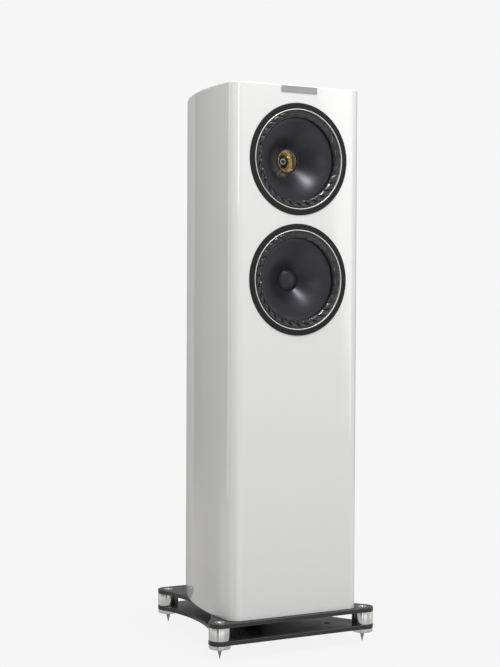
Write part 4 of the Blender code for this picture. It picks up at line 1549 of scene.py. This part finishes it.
class Plinth:
    """Two lobed plates, held apart by the feet's columns."""

    def __init__(self, workshop: Workshop, sizes: PlinthSizes = PlinthSizes()) -> None:
        """Find the feet and the port.

        Args:
            workshop: Adds the pieces.
            sizes: The plates' sizes.
        """
        self.workshop = workshop
        self.sizes = sizes
        self.feet = {corner.value: middle(f"column_{corner.value}") for corner in Corner}
        self.port = middle("port_tube")

    def outline(self) -> list[Point]:
        """A plate in plan: round lobes, straight front and back, deeply waisted sides.

        Returns:
            Its (x, y) points in order.
        """
        s = self.sizes
        front, rear = self.feet["front_right"], self.feet["rear_right"]
        chord = rear.xy - front.xy
        normal = Vector((chord.y, -chord.x)).normalized()
        reach = math.sqrt((s.waist_radius + s.lobe_radius) ** 2 - (chord.length / 2) ** 2)
        waist = (front.xy + rear.xy) / 2 + normal * reach
        to_front = math.atan2(front.y - waist.y, front.x - waist.x) % (2 * math.pi)
        to_rear = math.atan2(rear.y - waist.y, rear.x - waist.x) % (2 * math.pi)
        half = arc(tuple(front.xy), s.lobe_radius, -math.pi / 2, to_front - math.pi, 28)
        half += arc(tuple(waist), s.waist_radius, to_front, to_rear, 40)[1:-1]
        half += arc(tuple(rear.xy), s.lobe_radius, to_rear - math.pi, math.pi / 2, 28)
        return mirrored(half)

    def plate(self, low: float, high: float, holes: Sequence[Triple]) -> BMesh:
        """A plate with softened edges and chamfered holes.

        Args:
            low: Its underside.
            high: Its top face.
            holes: (x, y, radius) of each hole.

        Returns:
            The plate; its slanted bevel and chamfer faces have material 1, a lighter tone that is painted
            edge highlight.
        """
        plate = prism(self.outline(), low, high)
        rims = level_edges(plate, low) + level_edges(plate, high)
        bevel(plate, rims, self.sizes.edge, 3)
        chamfer = self.sizes.chamfer
        cutters = []
        for x, y, radius in holes:
            outline = [
                (0.0, low - chamfer),
                (radius + 2 * chamfer, low - chamfer),
                (radius, low + chamfer),
                (radius, high - chamfer),
                (radius + 2 * chamfer, high + chamfer),
                (0.0, high + chamfer),
            ]
            cutters.append(moved(turned(outline, 64), Matrix.Translation((x, y, 0.0))))
        plate = carved(plate, cutters)
        for face in plate.faces:
            # slanted faces (bevels and hole chamfers) take material 1, the lighter tone that is painted edge
            # highlight
            face.material_index = int(0.25 < abs(face.normal.z) < 0.96)
        return plate

    def build(self) -> None:
        """Make both plates."""
        s = self.sizes
        radii = {"plinth_top_plate": s.adjuster_hole, "plinth_lower_plate": s.spike_hole}
        for node, radius in radii.items():
            low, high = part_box(node)
            holes = [(foot.x, foot.y, radius) for foot in self.feet.values()]
            if node == "plinth_top_plate":
                holes.append((self.port.x, self.port.y, s.outlet_radius))
            else:
                for foot in self.feet.values():
                    x = foot.x - math.copysign(s.access_inset[0], foot.x)
                    y = foot.y - math.copysign(s.access_inset[1], foot.y)
                    holes.append((x, y, s.access_radius))
            plate = self.plate(low.z, high.z, holes)
            looks = ("plinth", "plinth_bevel_painted_highlight")
            self.workshop.piece(
                f"{node}_edged", plate, looks, "cabinet", replaces=[node], weighted=True
            )


class Corner(Enum):
    """The four feet."""

    FRONT_LEFT = "front_left"
    FRONT_RIGHT = "front_right"
    REAR_LEFT = "rear_left"
    REAR_RIGHT = "rear_right"


@dataclass(frozen=True)
class FootSizes:
    """One foot's column, adjuster, spike and lock wheel."""

    column_radius: float = 0.0216
    column_bore: float = 0.012
    adjuster_radius: float = 0.0102
    sleeve_radius: float = 0.0075
    web: float = 0.0056
    bore: float = 0.00465
    socket_radius: float = 0.0034
    socket_depth: float = 0.003
    dish: float = 0.0006
    spike_radius: float = 0.00425
    spike_point: float = 0.015
    tip_radius: float = 0.0005
    thread_pitch: float = 0.00125
    thread_depth: float = 0.0004
    wheel_radius: float = 0.021
    tommy_hole: float = 0.0016
    tommy_depth: float = 0.004


class Foot:
    """A column between the plates, and what turns on its axis."""

    def __init__(self, workshop: Workshop, corner: Corner, sizes: FootSizes = FootSizes()) -> None:
        """Find the foot's axis.

        Args:
            workshop: Adds the pieces.
            corner: Which foot.
            sizes: The foot's sizes.
        """
        self.workshop = workshop
        self.corner = corner.value
        self.sizes = sizes
        place = middle(f"column_{self.corner}")
        self.axis = Matrix.Translation((place.x, place.y, 0.0))

    def add(self, part: str, look: str, bm: BMesh, finish: str) -> None:
        """Add a turned part in place of its CAD node, on the body that it belongs to.

        Args:
            part: The CAD node's name without its corner.
            look: The end of the piece's name.
            bm: Its mesh, about the foot's axis.
            finish: A key of FINISHES.
        """
        node = f"{part}_{self.corner}"
        body = "cabinet" if part == "column" else node
        self.workshop.piece(f"{node}_{look}", bm, finish, body, self.axis, [node])

    def build(self) -> None:
        """Make this foot's four pieces."""
        self.build_column()
        self.build_adjuster()
        self.build_spike()
        self.build_wheel()

    def build_column(self) -> None:
        """A polished hollow column with softened ends."""
        s = self.sizes
        low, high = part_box(f"column_{self.corner}")
        outline = softened(ring(s.column_bore, s.column_radius, low.z, high.z), 0.0007, 4)
        self.add("column", "polished", turned(outline, 128), "polished")

    def build_adjuster(self) -> None:
        """A flanged nut with a dished face and a hexagonal socket."""
        s = self.sizes
        low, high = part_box(f"adjuster_{self.corner}")
        plate_low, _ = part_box("plinth_top_plate")
        dished = high.z - s.dish
        outline = [
            (s.bore, low.z),
            (s.sleeve_radius, low.z),
            (s.sleeve_radius, plate_low.z - GAP),
            (s.adjuster_radius, plate_low.z - GAP),
            (s.adjuster_radius, dished),
            (s.adjuster_radius - s.dish, high.z),
            (s.adjuster_radius - 0.0022, high.z),
            (s.adjuster_radius - 0.0030, dished),
            (s.socket_radius + 0.0012, dished),
            (0.0, dished),
            (0.0, high.z - s.web),
            (s.bore, high.z - s.web),
        ]
        nut = turned(softened(outline, 0.0002, 2), 96)
        socket = bmesh.new()
        bmesh.ops.create_cone(
            socket,
            cap_ends=True,
            segments=6,
            radius1=s.socket_radius,
            radius2=s.socket_radius,
            depth=2 * s.socket_depth,
            matrix=Matrix.Translation((0.0, 0.0, high.z)),
        )
        floor = high.z - 0.0012
        lead_in = [
            (0.0, floor),
            (s.socket_radius - 0.0002, floor),
            (s.socket_radius + 0.0008, high.z),
            (0.0, high.z),
        ]
        nut = carved(nut, [socket, turned(lead_in, 48)])
        self.add("adjuster", "socketed", nut, "aluminium")

    def build_spike(self) -> None:
        """A pointed spike with a fine thread above its cone."""
        s = self.sizes
        _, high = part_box(f"spike_{self.corner}")
        root = s.spike_radius - s.thread_depth
        outline = [(0.0, 0.0), (s.tip_radius, 0.0), (root, s.spike_point - 0.0008)]
        height = s.spike_point
        while height + s.thread_pitch < high.z - 0.001:
            outline.append((s.spike_radius, height + s.thread_pitch * 0.35))
            outline.append((s.spike_radius, height + s.thread_pitch * 0.5))
            outline.append((root, height + s.thread_pitch))
            height += s.thread_pitch
        outline += [(root, high.z), (0.0, high.z)]
        self.add("spike", "threaded", turned(outline, 48), "steel")

    def build_wheel(self) -> None:
        """A thin lock wheel with four tommy-bar holes."""
        s = self.sizes
        low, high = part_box(f"lock_wheel_{self.corner}")
        centre = (low.z + high.z) / 2
        outline = [
            (s.bore, low.z),
            (s.wheel_radius - 0.0016, low.z),
            (s.wheel_radius, low.z + 0.0012),
            (s.wheel_radius, high.z - 0.0006),
            (s.wheel_radius - 0.0006, high.z),
            (s.bore, high.z),
        ]
        wheel = turned(softened(outline, 0.0004, 3), 128)
        lying = Matrix.Rotation(math.pi / 2, 4, "Y")
        rim = Matrix.Translation((s.wheel_radius, 0.0, centre))
        cutters = []
        for i in range(4):
            hole = turned(ring(0.0, s.tommy_hole, -s.tommy_depth, s.tommy_depth), 24)
            around = Matrix.Rotation(math.pi / 4 + i * math.pi / 2, 4, "Z")
            cutters.append(moved(hole, around @ rim @ lying))
        self.add("lock_wheel", "drilled", carved(wheel, cutters), "polished")


class Port:
    """The bass port's tube, its flared mouth and the cone that spreads its air."""

    RADIUS = 0.030
    WALL = 0.003
    FLARE = 0.0065
    DIFFUSER_CURVE = 1.5

    def __init__(self, workshop: Workshop) -> None:
        """Find the tube's axis."""
        self.workshop = workshop
        place = middle("port_tube")
        self.axis = Matrix.Translation((place.x, place.y, 0.0))

    def build(self) -> None:
        """Make the tube and the diffuser."""
        low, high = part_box("port_tube")
        plate_low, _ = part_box("plinth_top_plate")
        radius, outer, lip = self.RADIUS, self.RADIUS + self.WALL, self.RADIUS + 0.0062
        mouth = plate_low.z + 0.0006
        centre = (radius + self.FLARE, low.z + 0.001)
        flare = [(radius, high.z - 0.002), (radius, low.z + 0.006)]
        flare += arc(centre, self.FLARE, math.pi, 1.45 * math.pi, 10)
        flare += [(lip, mouth + 0.0004), (lip, mouth + 0.0022)]
        flare += [(outer, low.z + 0.0015), (outer, high.z), (radius + 0.001, high.z)]
        self.workshop.piece(
            "port_tube_flared", turned(flare, 96), "plastic", "cabinet", self.axis, ["port_tube"]
        )
        low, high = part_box("port_diffuser")
        reach, height, steps = high.x, high.z - low.z, 24
        cone = [(0.0, low.z), (reach, low.z)]
        for i in range(1, steps + 1):
            share = i / steps
            cone.append((reach * (1 - share) ** self.DIFFUSER_CURVE, low.z + height * share))
        diffuser = turned(cone, 96)
        self.workshop.piece(
            "port_diffuser_smooth", diffuser, "plastic", "cabinet", self.axis, ["port_diffuser"]
        )


# ---------------------------------------------------------------- terminals
@dataclass(frozen=True)
class TerminalSizes:
    """The terminal plate and its posts."""

    corner: float = 0.005
    collar_radius: float = 0.0068
    collar: float = 0.003
    post_radius: float = 0.003
    plug_bore: float = 0.0021
    plug_depth: float = 0.014
    nut_bore: float = 0.0034
    nut_radius: float = 0.0075
    knurls: int = 40
    screw_radius: float = 0.0032
    screw_inset: float = 0.0065


class Terminals:
    """A plate on the back with two pairs of binding posts."""

    def __init__(self, workshop: Workshop, sizes: TerminalSizes = TerminalSizes()) -> None:
        """Keep the plate's sizes."""
        self.workshop = workshop
        self.sizes = sizes

    def build(self) -> None:
        """Make the plate, its screws, and the posts with their nuts."""
        names = ("upper_left", "upper_right", "lower_left", "lower_right")
        axes = {name: self.post_axis(name) for name in names}
        self.build_plate(list(axes.values()))
        for name, axis in axes.items():
            self.build_post(name, axis)
            self.build_nut(name, axis)

    def post_axis(self, name: str) -> Matrix:
        """A post's axis from the plate's face; local +Z points backwards out of it.

        Args:
            name: Which post.

        Returns:
            The axis as a transform.
        """
        place = middle(f"binding_post_{name}")
        _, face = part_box("terminal_plate")
        place.y = face.y
        return Matrix.Translation(place) @ Matrix.Rotation(-math.pi / 2, 4, "X")

    def build_plate(self, axes: Sequence[Matrix]) -> None:
        """A rounded plate with a dish round each post and a screw in each corner.

        Args:
            axes: The posts' axes.
        """
        low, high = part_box("terminal_plate")
        plate = block(low, high)
        across = [e for e in plate.edges if abs(e.verts[0].co.y - e.verts[1].co.y) > 0.001]
        bevel(plate, across, self.sizes.corner, 8)
        front = [e for e in plate.edges if all(abs(v.co.y - high.y) < 1e-6 for v in e.verts)]
        depth = 0.0009
        bevel(plate, front, depth, 3)
        dish = [(0.0, -depth), (0.0092, -depth), (0.0098, 0.001), (0.0, 0.001)]
        bore = ring(0.0, self.sizes.nut_bore, -0.02, 0.001)
        cutters = [moved(turned(outline, 64), axis) for axis in axes for outline in (dish, bore)]
        plate = carved(plate, cutters)
        self.workshop.piece(
            "terminal_plate_dished", plate, "plastic", "cabinet", replaces=["terminal_plate"],
            weighted=True,
        )
        inset = self.sizes.screw_inset
        heads = []
        for x in (low.x + inset, high.x - inset):
            for z in (low.z + inset, high.z - inset):
                facing = Matrix.Rotation(-math.pi / 2, 4, "X")
                turn = Matrix.Rotation(x * 9 + z * 23, 4, "Z")
                place = Matrix.Translation((x, high.y, z)) @ facing @ turn
                heads.append(moved(self.screw_head(), place))
        self.workshop.piece("terminal_screws", joined(heads), "steel_plain", "cabinet")

    def screw_head(self) -> BMesh:
        """A domed screw head with a cross in it.

        Returns:
            Its mesh, facing up at the origin.
        """
        radius = self.sizes.screw_radius
        outline = [(0.0, -0.001), (radius, -0.001), (radius, 0.0006), (0.0, 0.0012)]
        slots = [
            block(Vector((-long, -wide, 0.0)), Vector((long, wide, 0.002)))
            for long, wide in ((0.0018, 0.0004), (0.0004, 0.0018))
        ]
        return carved(turned(softened(outline, 0.0004), 32), slots)

    def build_post(self, name: str, axis: Matrix) -> None:
        """A gold post with a collar and a bore for a plug.

        Args:
            name: Which post.
            axis: Its axis from the plate's face.
        """
        s = self.sizes
        low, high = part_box(f"binding_post_{name}")
        face = axis.translation.y
        back, tip = low.y - face, high.y - face
        outline = [
            (0.0, back),
            (s.post_radius, back),
            (s.post_radius, GAP),
            (s.collar_radius, GAP),
            (s.collar_radius, GAP + s.collar),
            (s.post_radius, GAP + s.collar),
            (s.post_radius, tip),
            (s.plug_bore, tip),
            (s.plug_bore, tip - s.plug_depth),
            (0.0, tip - s.plug_depth),
        ]
        post = turned(softened(outline, 0.0004), 48)
        self.workshop.piece(
            f"post_{name}", post, "gold", "cabinet", axis, [f"binding_post_{name}"]
        )

    def build_nut(self, name: str, axis: Matrix) -> None:
        """A knurled nut with a coloured cap ring.

        Args:
            name: Which post it turns on.
            axis: The post's axis from the plate's face.
        """
        s = self.sizes
        low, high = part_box(f"binding_nut_{name}")
        face = axis.translation.y
        start, end = low.y - face, high.y - face
        outline = [
            (s.nut_bore, start),
            (s.nut_radius - 0.0010, start),
            (s.nut_radius - 0.0002, start + 0.0010),
            (s.nut_radius - 0.0002, start + 0.0080),
            (s.nut_radius - 0.0012, start + 0.0088),
            (s.nut_radius - 0.0012, end),
            (s.nut_bore, end),
        ]
        nut = turned(softened(outline, 0.0003, 2), s.knurls * 4)
        for vertex in nut.verts:
            radius = math.hypot(vertex.co.x, vertex.co.y)
            if radius > s.nut_radius - 0.0006:
                wave = math.cos(math.atan2(vertex.co.y, vertex.co.x) * s.knurls)
                vertex.co.xy *= 1 + 0.0002 * wave / radius
        body = f"binding_nut_{name}"
        self.workshop.piece(f"nut_{name}", nut, "gold", body, axis, [body])
        finish = "plastic_red" if name.endswith("right") else "plastic"
        band = ring(s.nut_radius - 0.0011, s.nut_radius - 0.0003, end - 0.0034, end - 0.0004)
        band_mesh = turned(softened(band, 0.0003), 64)
        self.workshop.piece(f"nut_band_{name}", band_mesh, finish, body, axis)


# ---------------------------------------------------------------- CAD nodes kept as they are
KEPT_NODES: dict[str, tuple[str, ...]] = {
    "board": ("bottom_panel", "internal_brace"),
    "circuit": ("crossover_board",),
    "copper": ("inductor_coil", "coax_voice_coil", "bass_voice_coil"),
    "film": ("capacitor",),
    "basket": ("coax_basket", "bass_basket"),
    "steel": (
        "coax_front_plate", "coax_pole_plate", "bass_front_plate", "bass_pole_plate", "hf_magnet",
    ),
    "ferrite": ("coax_magnet", "bass_magnet"),
}


def dress_kept_nodes(workshop: Workshop, nodes: dict[str, bpy.types.Object]) -> None:
    """Give each CAD node that is kept its procedural material.

    Args:
        workshop: Holds the materials.
        nodes: The frame's objects by their node's name.
    """
    for finish, names in KEPT_NODES.items():
        material = workshop.finishes.get(finish, Coordinates.OBJECT)
        for name in names:
            nodes[name].data.materials.clear()
            nodes[name].data.materials.append(material)


# ---------------------------------------------------------------- studio
@dataclass(frozen=True)
class Softbox:
    """A rectangular light aimed at a point."""

    name: str
    place: Triple
    aim: Triple
    size: Point
    power: float
    roll: float = 0.0


@dataclass(frozen=True)
class CameraView:
    """The camera's place and the way it looks, in metres and radians."""

    place: Triple = (-1.4724, -2.6895, 0.6937)
    yaw: float = 0.4992
    pitch: float = 0.0234
    roll: float = 0.0046
    lens: float = 79.87


class Studio:
    """A pale cove, soft light and the camera."""

    PAPER = grey(0.923)
    FLOOR_BOUNCE = grey(0.45)
    WALLS = (  # share of the way round from behind, and level
        (0.00, 0.46), (0.14, 0.40), (0.27, 0.42), (0.355, 0.56), (0.368, 0.10),
        (0.388, 0.10), (0.400, 1.05), (0.43, 0.95), (0.50, 1.05), (0.60, 0.95),
        (0.72, 0.80), (0.82, 0.50), (1.00, 0.80),
    )
    STREAKS = (  # the same below the horizon, with a slight tint
        (0.00, (0.9, 0.88, 0.85)), (0.07, (0.7, 0.68, 0.65)), (0.09, (1.5, 1.5, 1.45)),
        (0.15, (1.3, 1.3, 1.25)), (0.27, (1.2, 1.2, 1.15)), (0.30, grey(1.5)),
        (0.345, grey(1.0)), (0.36, grey(0.3)), (0.39, (0.3, 0.3, 0.32)),
        (0.40, (1.9, 1.9, 1.95)), (0.44, grey(2.0)), (0.452, grey(0.8)),
        (0.462, grey(0.8)), (0.47, grey(2.0)), (0.55, grey(1.6)),
        (0.58, (0.9, 0.9, 0.88)), (0.66, (1.2, 1.2, 1.15)), (0.70, (1.9, 1.9, 1.85)),
        (0.74, grey(1.1)), (0.80, (1.5, 1.5, 1.45)), (0.90, (0.6, 0.58, 0.55)),
        (1.00, (0.9, 0.88, 0.85)),
    )
    LIGHTS = (
        Softbox("key_right", (1.63, -2.20, 0.95), (0.0, -0.1, 0.95), (0.5, 1.5), 4.4, 0.105),
        Softbox("overhead", (-0.17, -1.24, 2.79), (0.0, -0.1, 0.75), (0.5, 0.5), 25.0),
        Softbox("ceiling_strip", (0.15, -0.40, 2.7), (0.1, -0.25, 0.9), (2.2, 0.26), 11.0, 0.4),
        Softbox("top_left", (-1.2, -0.2, 2.4), (-0.15, 0.0, 1.1), (0.9, 0.9), 6.5),
        Softbox("front_left", (-1.45, -2.75, 1.35), (0.0, -0.1, 0.8), (0.6, 0.6), 3.2),
        Softbox("rim_left", (-2.4, 1.5, 1.0), (0.0, 0.0, 0.6), (0.5, 2.2), 6.0),
    )

    def build(self) -> None:
        """Make the world, the floor, the lights and the camera."""
        self.build_world()
        self.build_floor()
        for light in self.LIGHTS:
            self.build_light(light)
        self.build_camera(CameraView())
        view = bpy.context.scene.view_settings
        view.view_transform = "Standard"
        view.look = "None"

    def build_world(self) -> None:
        """Even paper to the camera; to everything else, a room with lit walls and dark flags."""
        world = bpy.data.worlds.new("studio")
        bpy.context.scene.world = world
        world.use_nodes = True
        graph = Graph(world.node_tree)
        world.node_tree.nodes.clear()
        direction = graph.add("ShaderNodeTexCoord", output="Generated")
        x, y, z = graph.axes(direction)
        turn = graph.maths("ARCTAN2", x, graph.maths("MULTIPLY", y, -1.0))
        around = graph.remap(turn, (-math.pi, math.pi), (0.0, 1.0))
        walls = graph.ramp(around, [(position, grey(level)) for position, level in self.WALLS])
        streaks = graph.ramp(around, self.STREAKS)
        below = graph.remap(z, (-0.17, -0.08), (1.0, 0.0), smooth=True)
        walls = graph.mix(below, walls, streaks)
        low = graph.remap(z, (-0.6, 0.5), (0.53, 0.63), smooth=True)
        height = graph.maths("ADD", low, graph.remap(z, (0.60, 0.98), (0.0, 0.4), smooth=True))
        room = graph.add("ShaderNodeBackground", {"Color": walls, "Strength": height})
        paper = graph.add("ShaderNodeBackground", {"Color": self.PAPER, "Strength": 1.0})
        seen = graph.add("ShaderNodeLightPath", output="Is Camera Ray")
        mixed = graph.add("ShaderNodeMixShader", {0: seen, 1: room, 2: paper})
        output = world.node_tree.nodes.new("ShaderNodeOutputWorld")
        graph.feed(output.inputs["Surface"], mixed)

    def build_floor(self) -> None:
        """A wide disc of the same paper that catches a faint shadow near the feet."""
        bm = bmesh.new()
        bmesh.ops.create_circle(bm, cap_ends=True, segments=128, radius=30.0)
        mesh = bpy.data.meshes.new("floor")
        bm.to_mesh(mesh)
        bm.free()
        floor = bpy.data.objects.new("floor", mesh)
        bpy.context.scene.collection.objects.link(floor)
        material = bpy.data.materials.new("paper_floor")
        material.use_nodes = True
        graph = Graph(material.node_tree)
        material.node_tree.nodes.clear()
        place = graph.add("ShaderNodeTexCoord", output="Object")
        reach = graph.reach(place)
        near = graph.remap(reach, (0.15, 0.7), (0.05, 0.0), smooth=True)
        texture = graph.noise(place, 60.0, 3.0)
        tone = graph.remap(texture, (0.0, 1.0), (0.80, 0.86))
        pale = graph.add("ShaderNodeCombineColor", dict.fromkeys(range(3), tone))
        diffuse = graph.add("ShaderNodeBsdfDiffuse", {0: pale})
        glow = graph.add("ShaderNodeEmission", {0: self.PAPER, 1: 1.0})
        seen = graph.add("ShaderNodeMixShader", {0: near, 1: glow, 2: diffuse})
        bounce = graph.add("ShaderNodeEmission", {0: self.FLOOR_BOUNCE, 1: 1.0})
        clear = graph.add("ShaderNodeBsdfTransparent")
        far = graph.remap(reach, (0.24, 0.6), (0.0, 1.0), smooth=True)
        unseen = graph.add("ShaderNodeMixShader", {0: far, 1: bounce, 2: clear})
        looking = graph.add("ShaderNodeLightPath", output="Is Camera Ray")
        mixed = graph.add("ShaderNodeMixShader", {0: looking, 1: unseen, 2: seen})
        output = material.node_tree.nodes.new("ShaderNodeOutputMaterial")
        graph.feed(output.inputs["Surface"], mixed)
        mesh.materials.append(material)

    @staticmethod
    def build_light(box: Softbox) -> None:
        """Hang one softbox.

        Args:
            box: Its place, aim, size and power.
        """
        data = bpy.data.lights.new(box.name, "AREA")
        data.shape = "RECTANGLE"
        data.size, data.size_y = box.size
        data.energy = box.power
        light = bpy.data.objects.new(box.name, data)
        aim = Vector(box.aim) - Vector(box.place)
        turn = aim.to_track_quat("-Z", "Y").to_matrix().to_4x4()
        light.matrix_world = Matrix.Translation(box.place) @ turn @ Matrix.Rotation(box.roll, 4, "Z")
        bpy.context.scene.collection.objects.link(light)

    @staticmethod
    def build_camera(view: CameraView) -> None:
        """Set the scene's camera from its place and three angles.

        Args:
            view: Where it stands and how it looks.
        """
        data = bpy.data.cameras.new("camera")
        data.lens = view.lens
        data.clip_end = 100.0
        camera = bpy.data.objects.new("camera", data)
        across = math.cos(view.pitch)
        forward = Vector(
            (math.sin(view.yaw) * across, math.cos(view.yaw) * across, -math.sin(view.pitch))
        )
        level = Vector((math.cos(view.yaw), -math.sin(view.yaw), 0.0))
        upright = level.cross(forward)
        right = level * math.cos(view.roll) + upright * math.sin(view.roll)
        up = upright * math.cos(view.roll) - level * math.sin(view.roll)
        turn = Matrix((right, up, -forward)).transposed().to_4x4()
        camera.matrix_world = Matrix.Translation(view.place) @ turn
        bpy.context.scene.collection.objects.link(camera)
        bpy.context.scene.camera = camera


def main() -> None:
    """Load the frame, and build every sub-assembly and the studio."""
    logging.basicConfig(level=logging.INFO, format="%(name)s: %(message)s")
    for obj in list(bpy.data.objects):
        bpy.data.objects.remove(obj)
    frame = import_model()
    workshop = Workshop()
    cabinet = Cabinet(workshop)
    assemblies = [
        cabinet,
        CoaxialDriver(workshop, cabinet),
        BassDriver(workshop, cabinet),
        Plinth(workshop),
        *(Foot(workshop, corner) for corner in Corner),
        Port(workshop),
        Terminals(workshop),
    ]
    for assembly in assemblies:
        assembly.build()
        LOG.info("built %s", type(assembly).__name__)
    dress_kept_nodes(workshop, frame["nodes"])
    Studio().build()


if __name__ == "__main__":
    main()
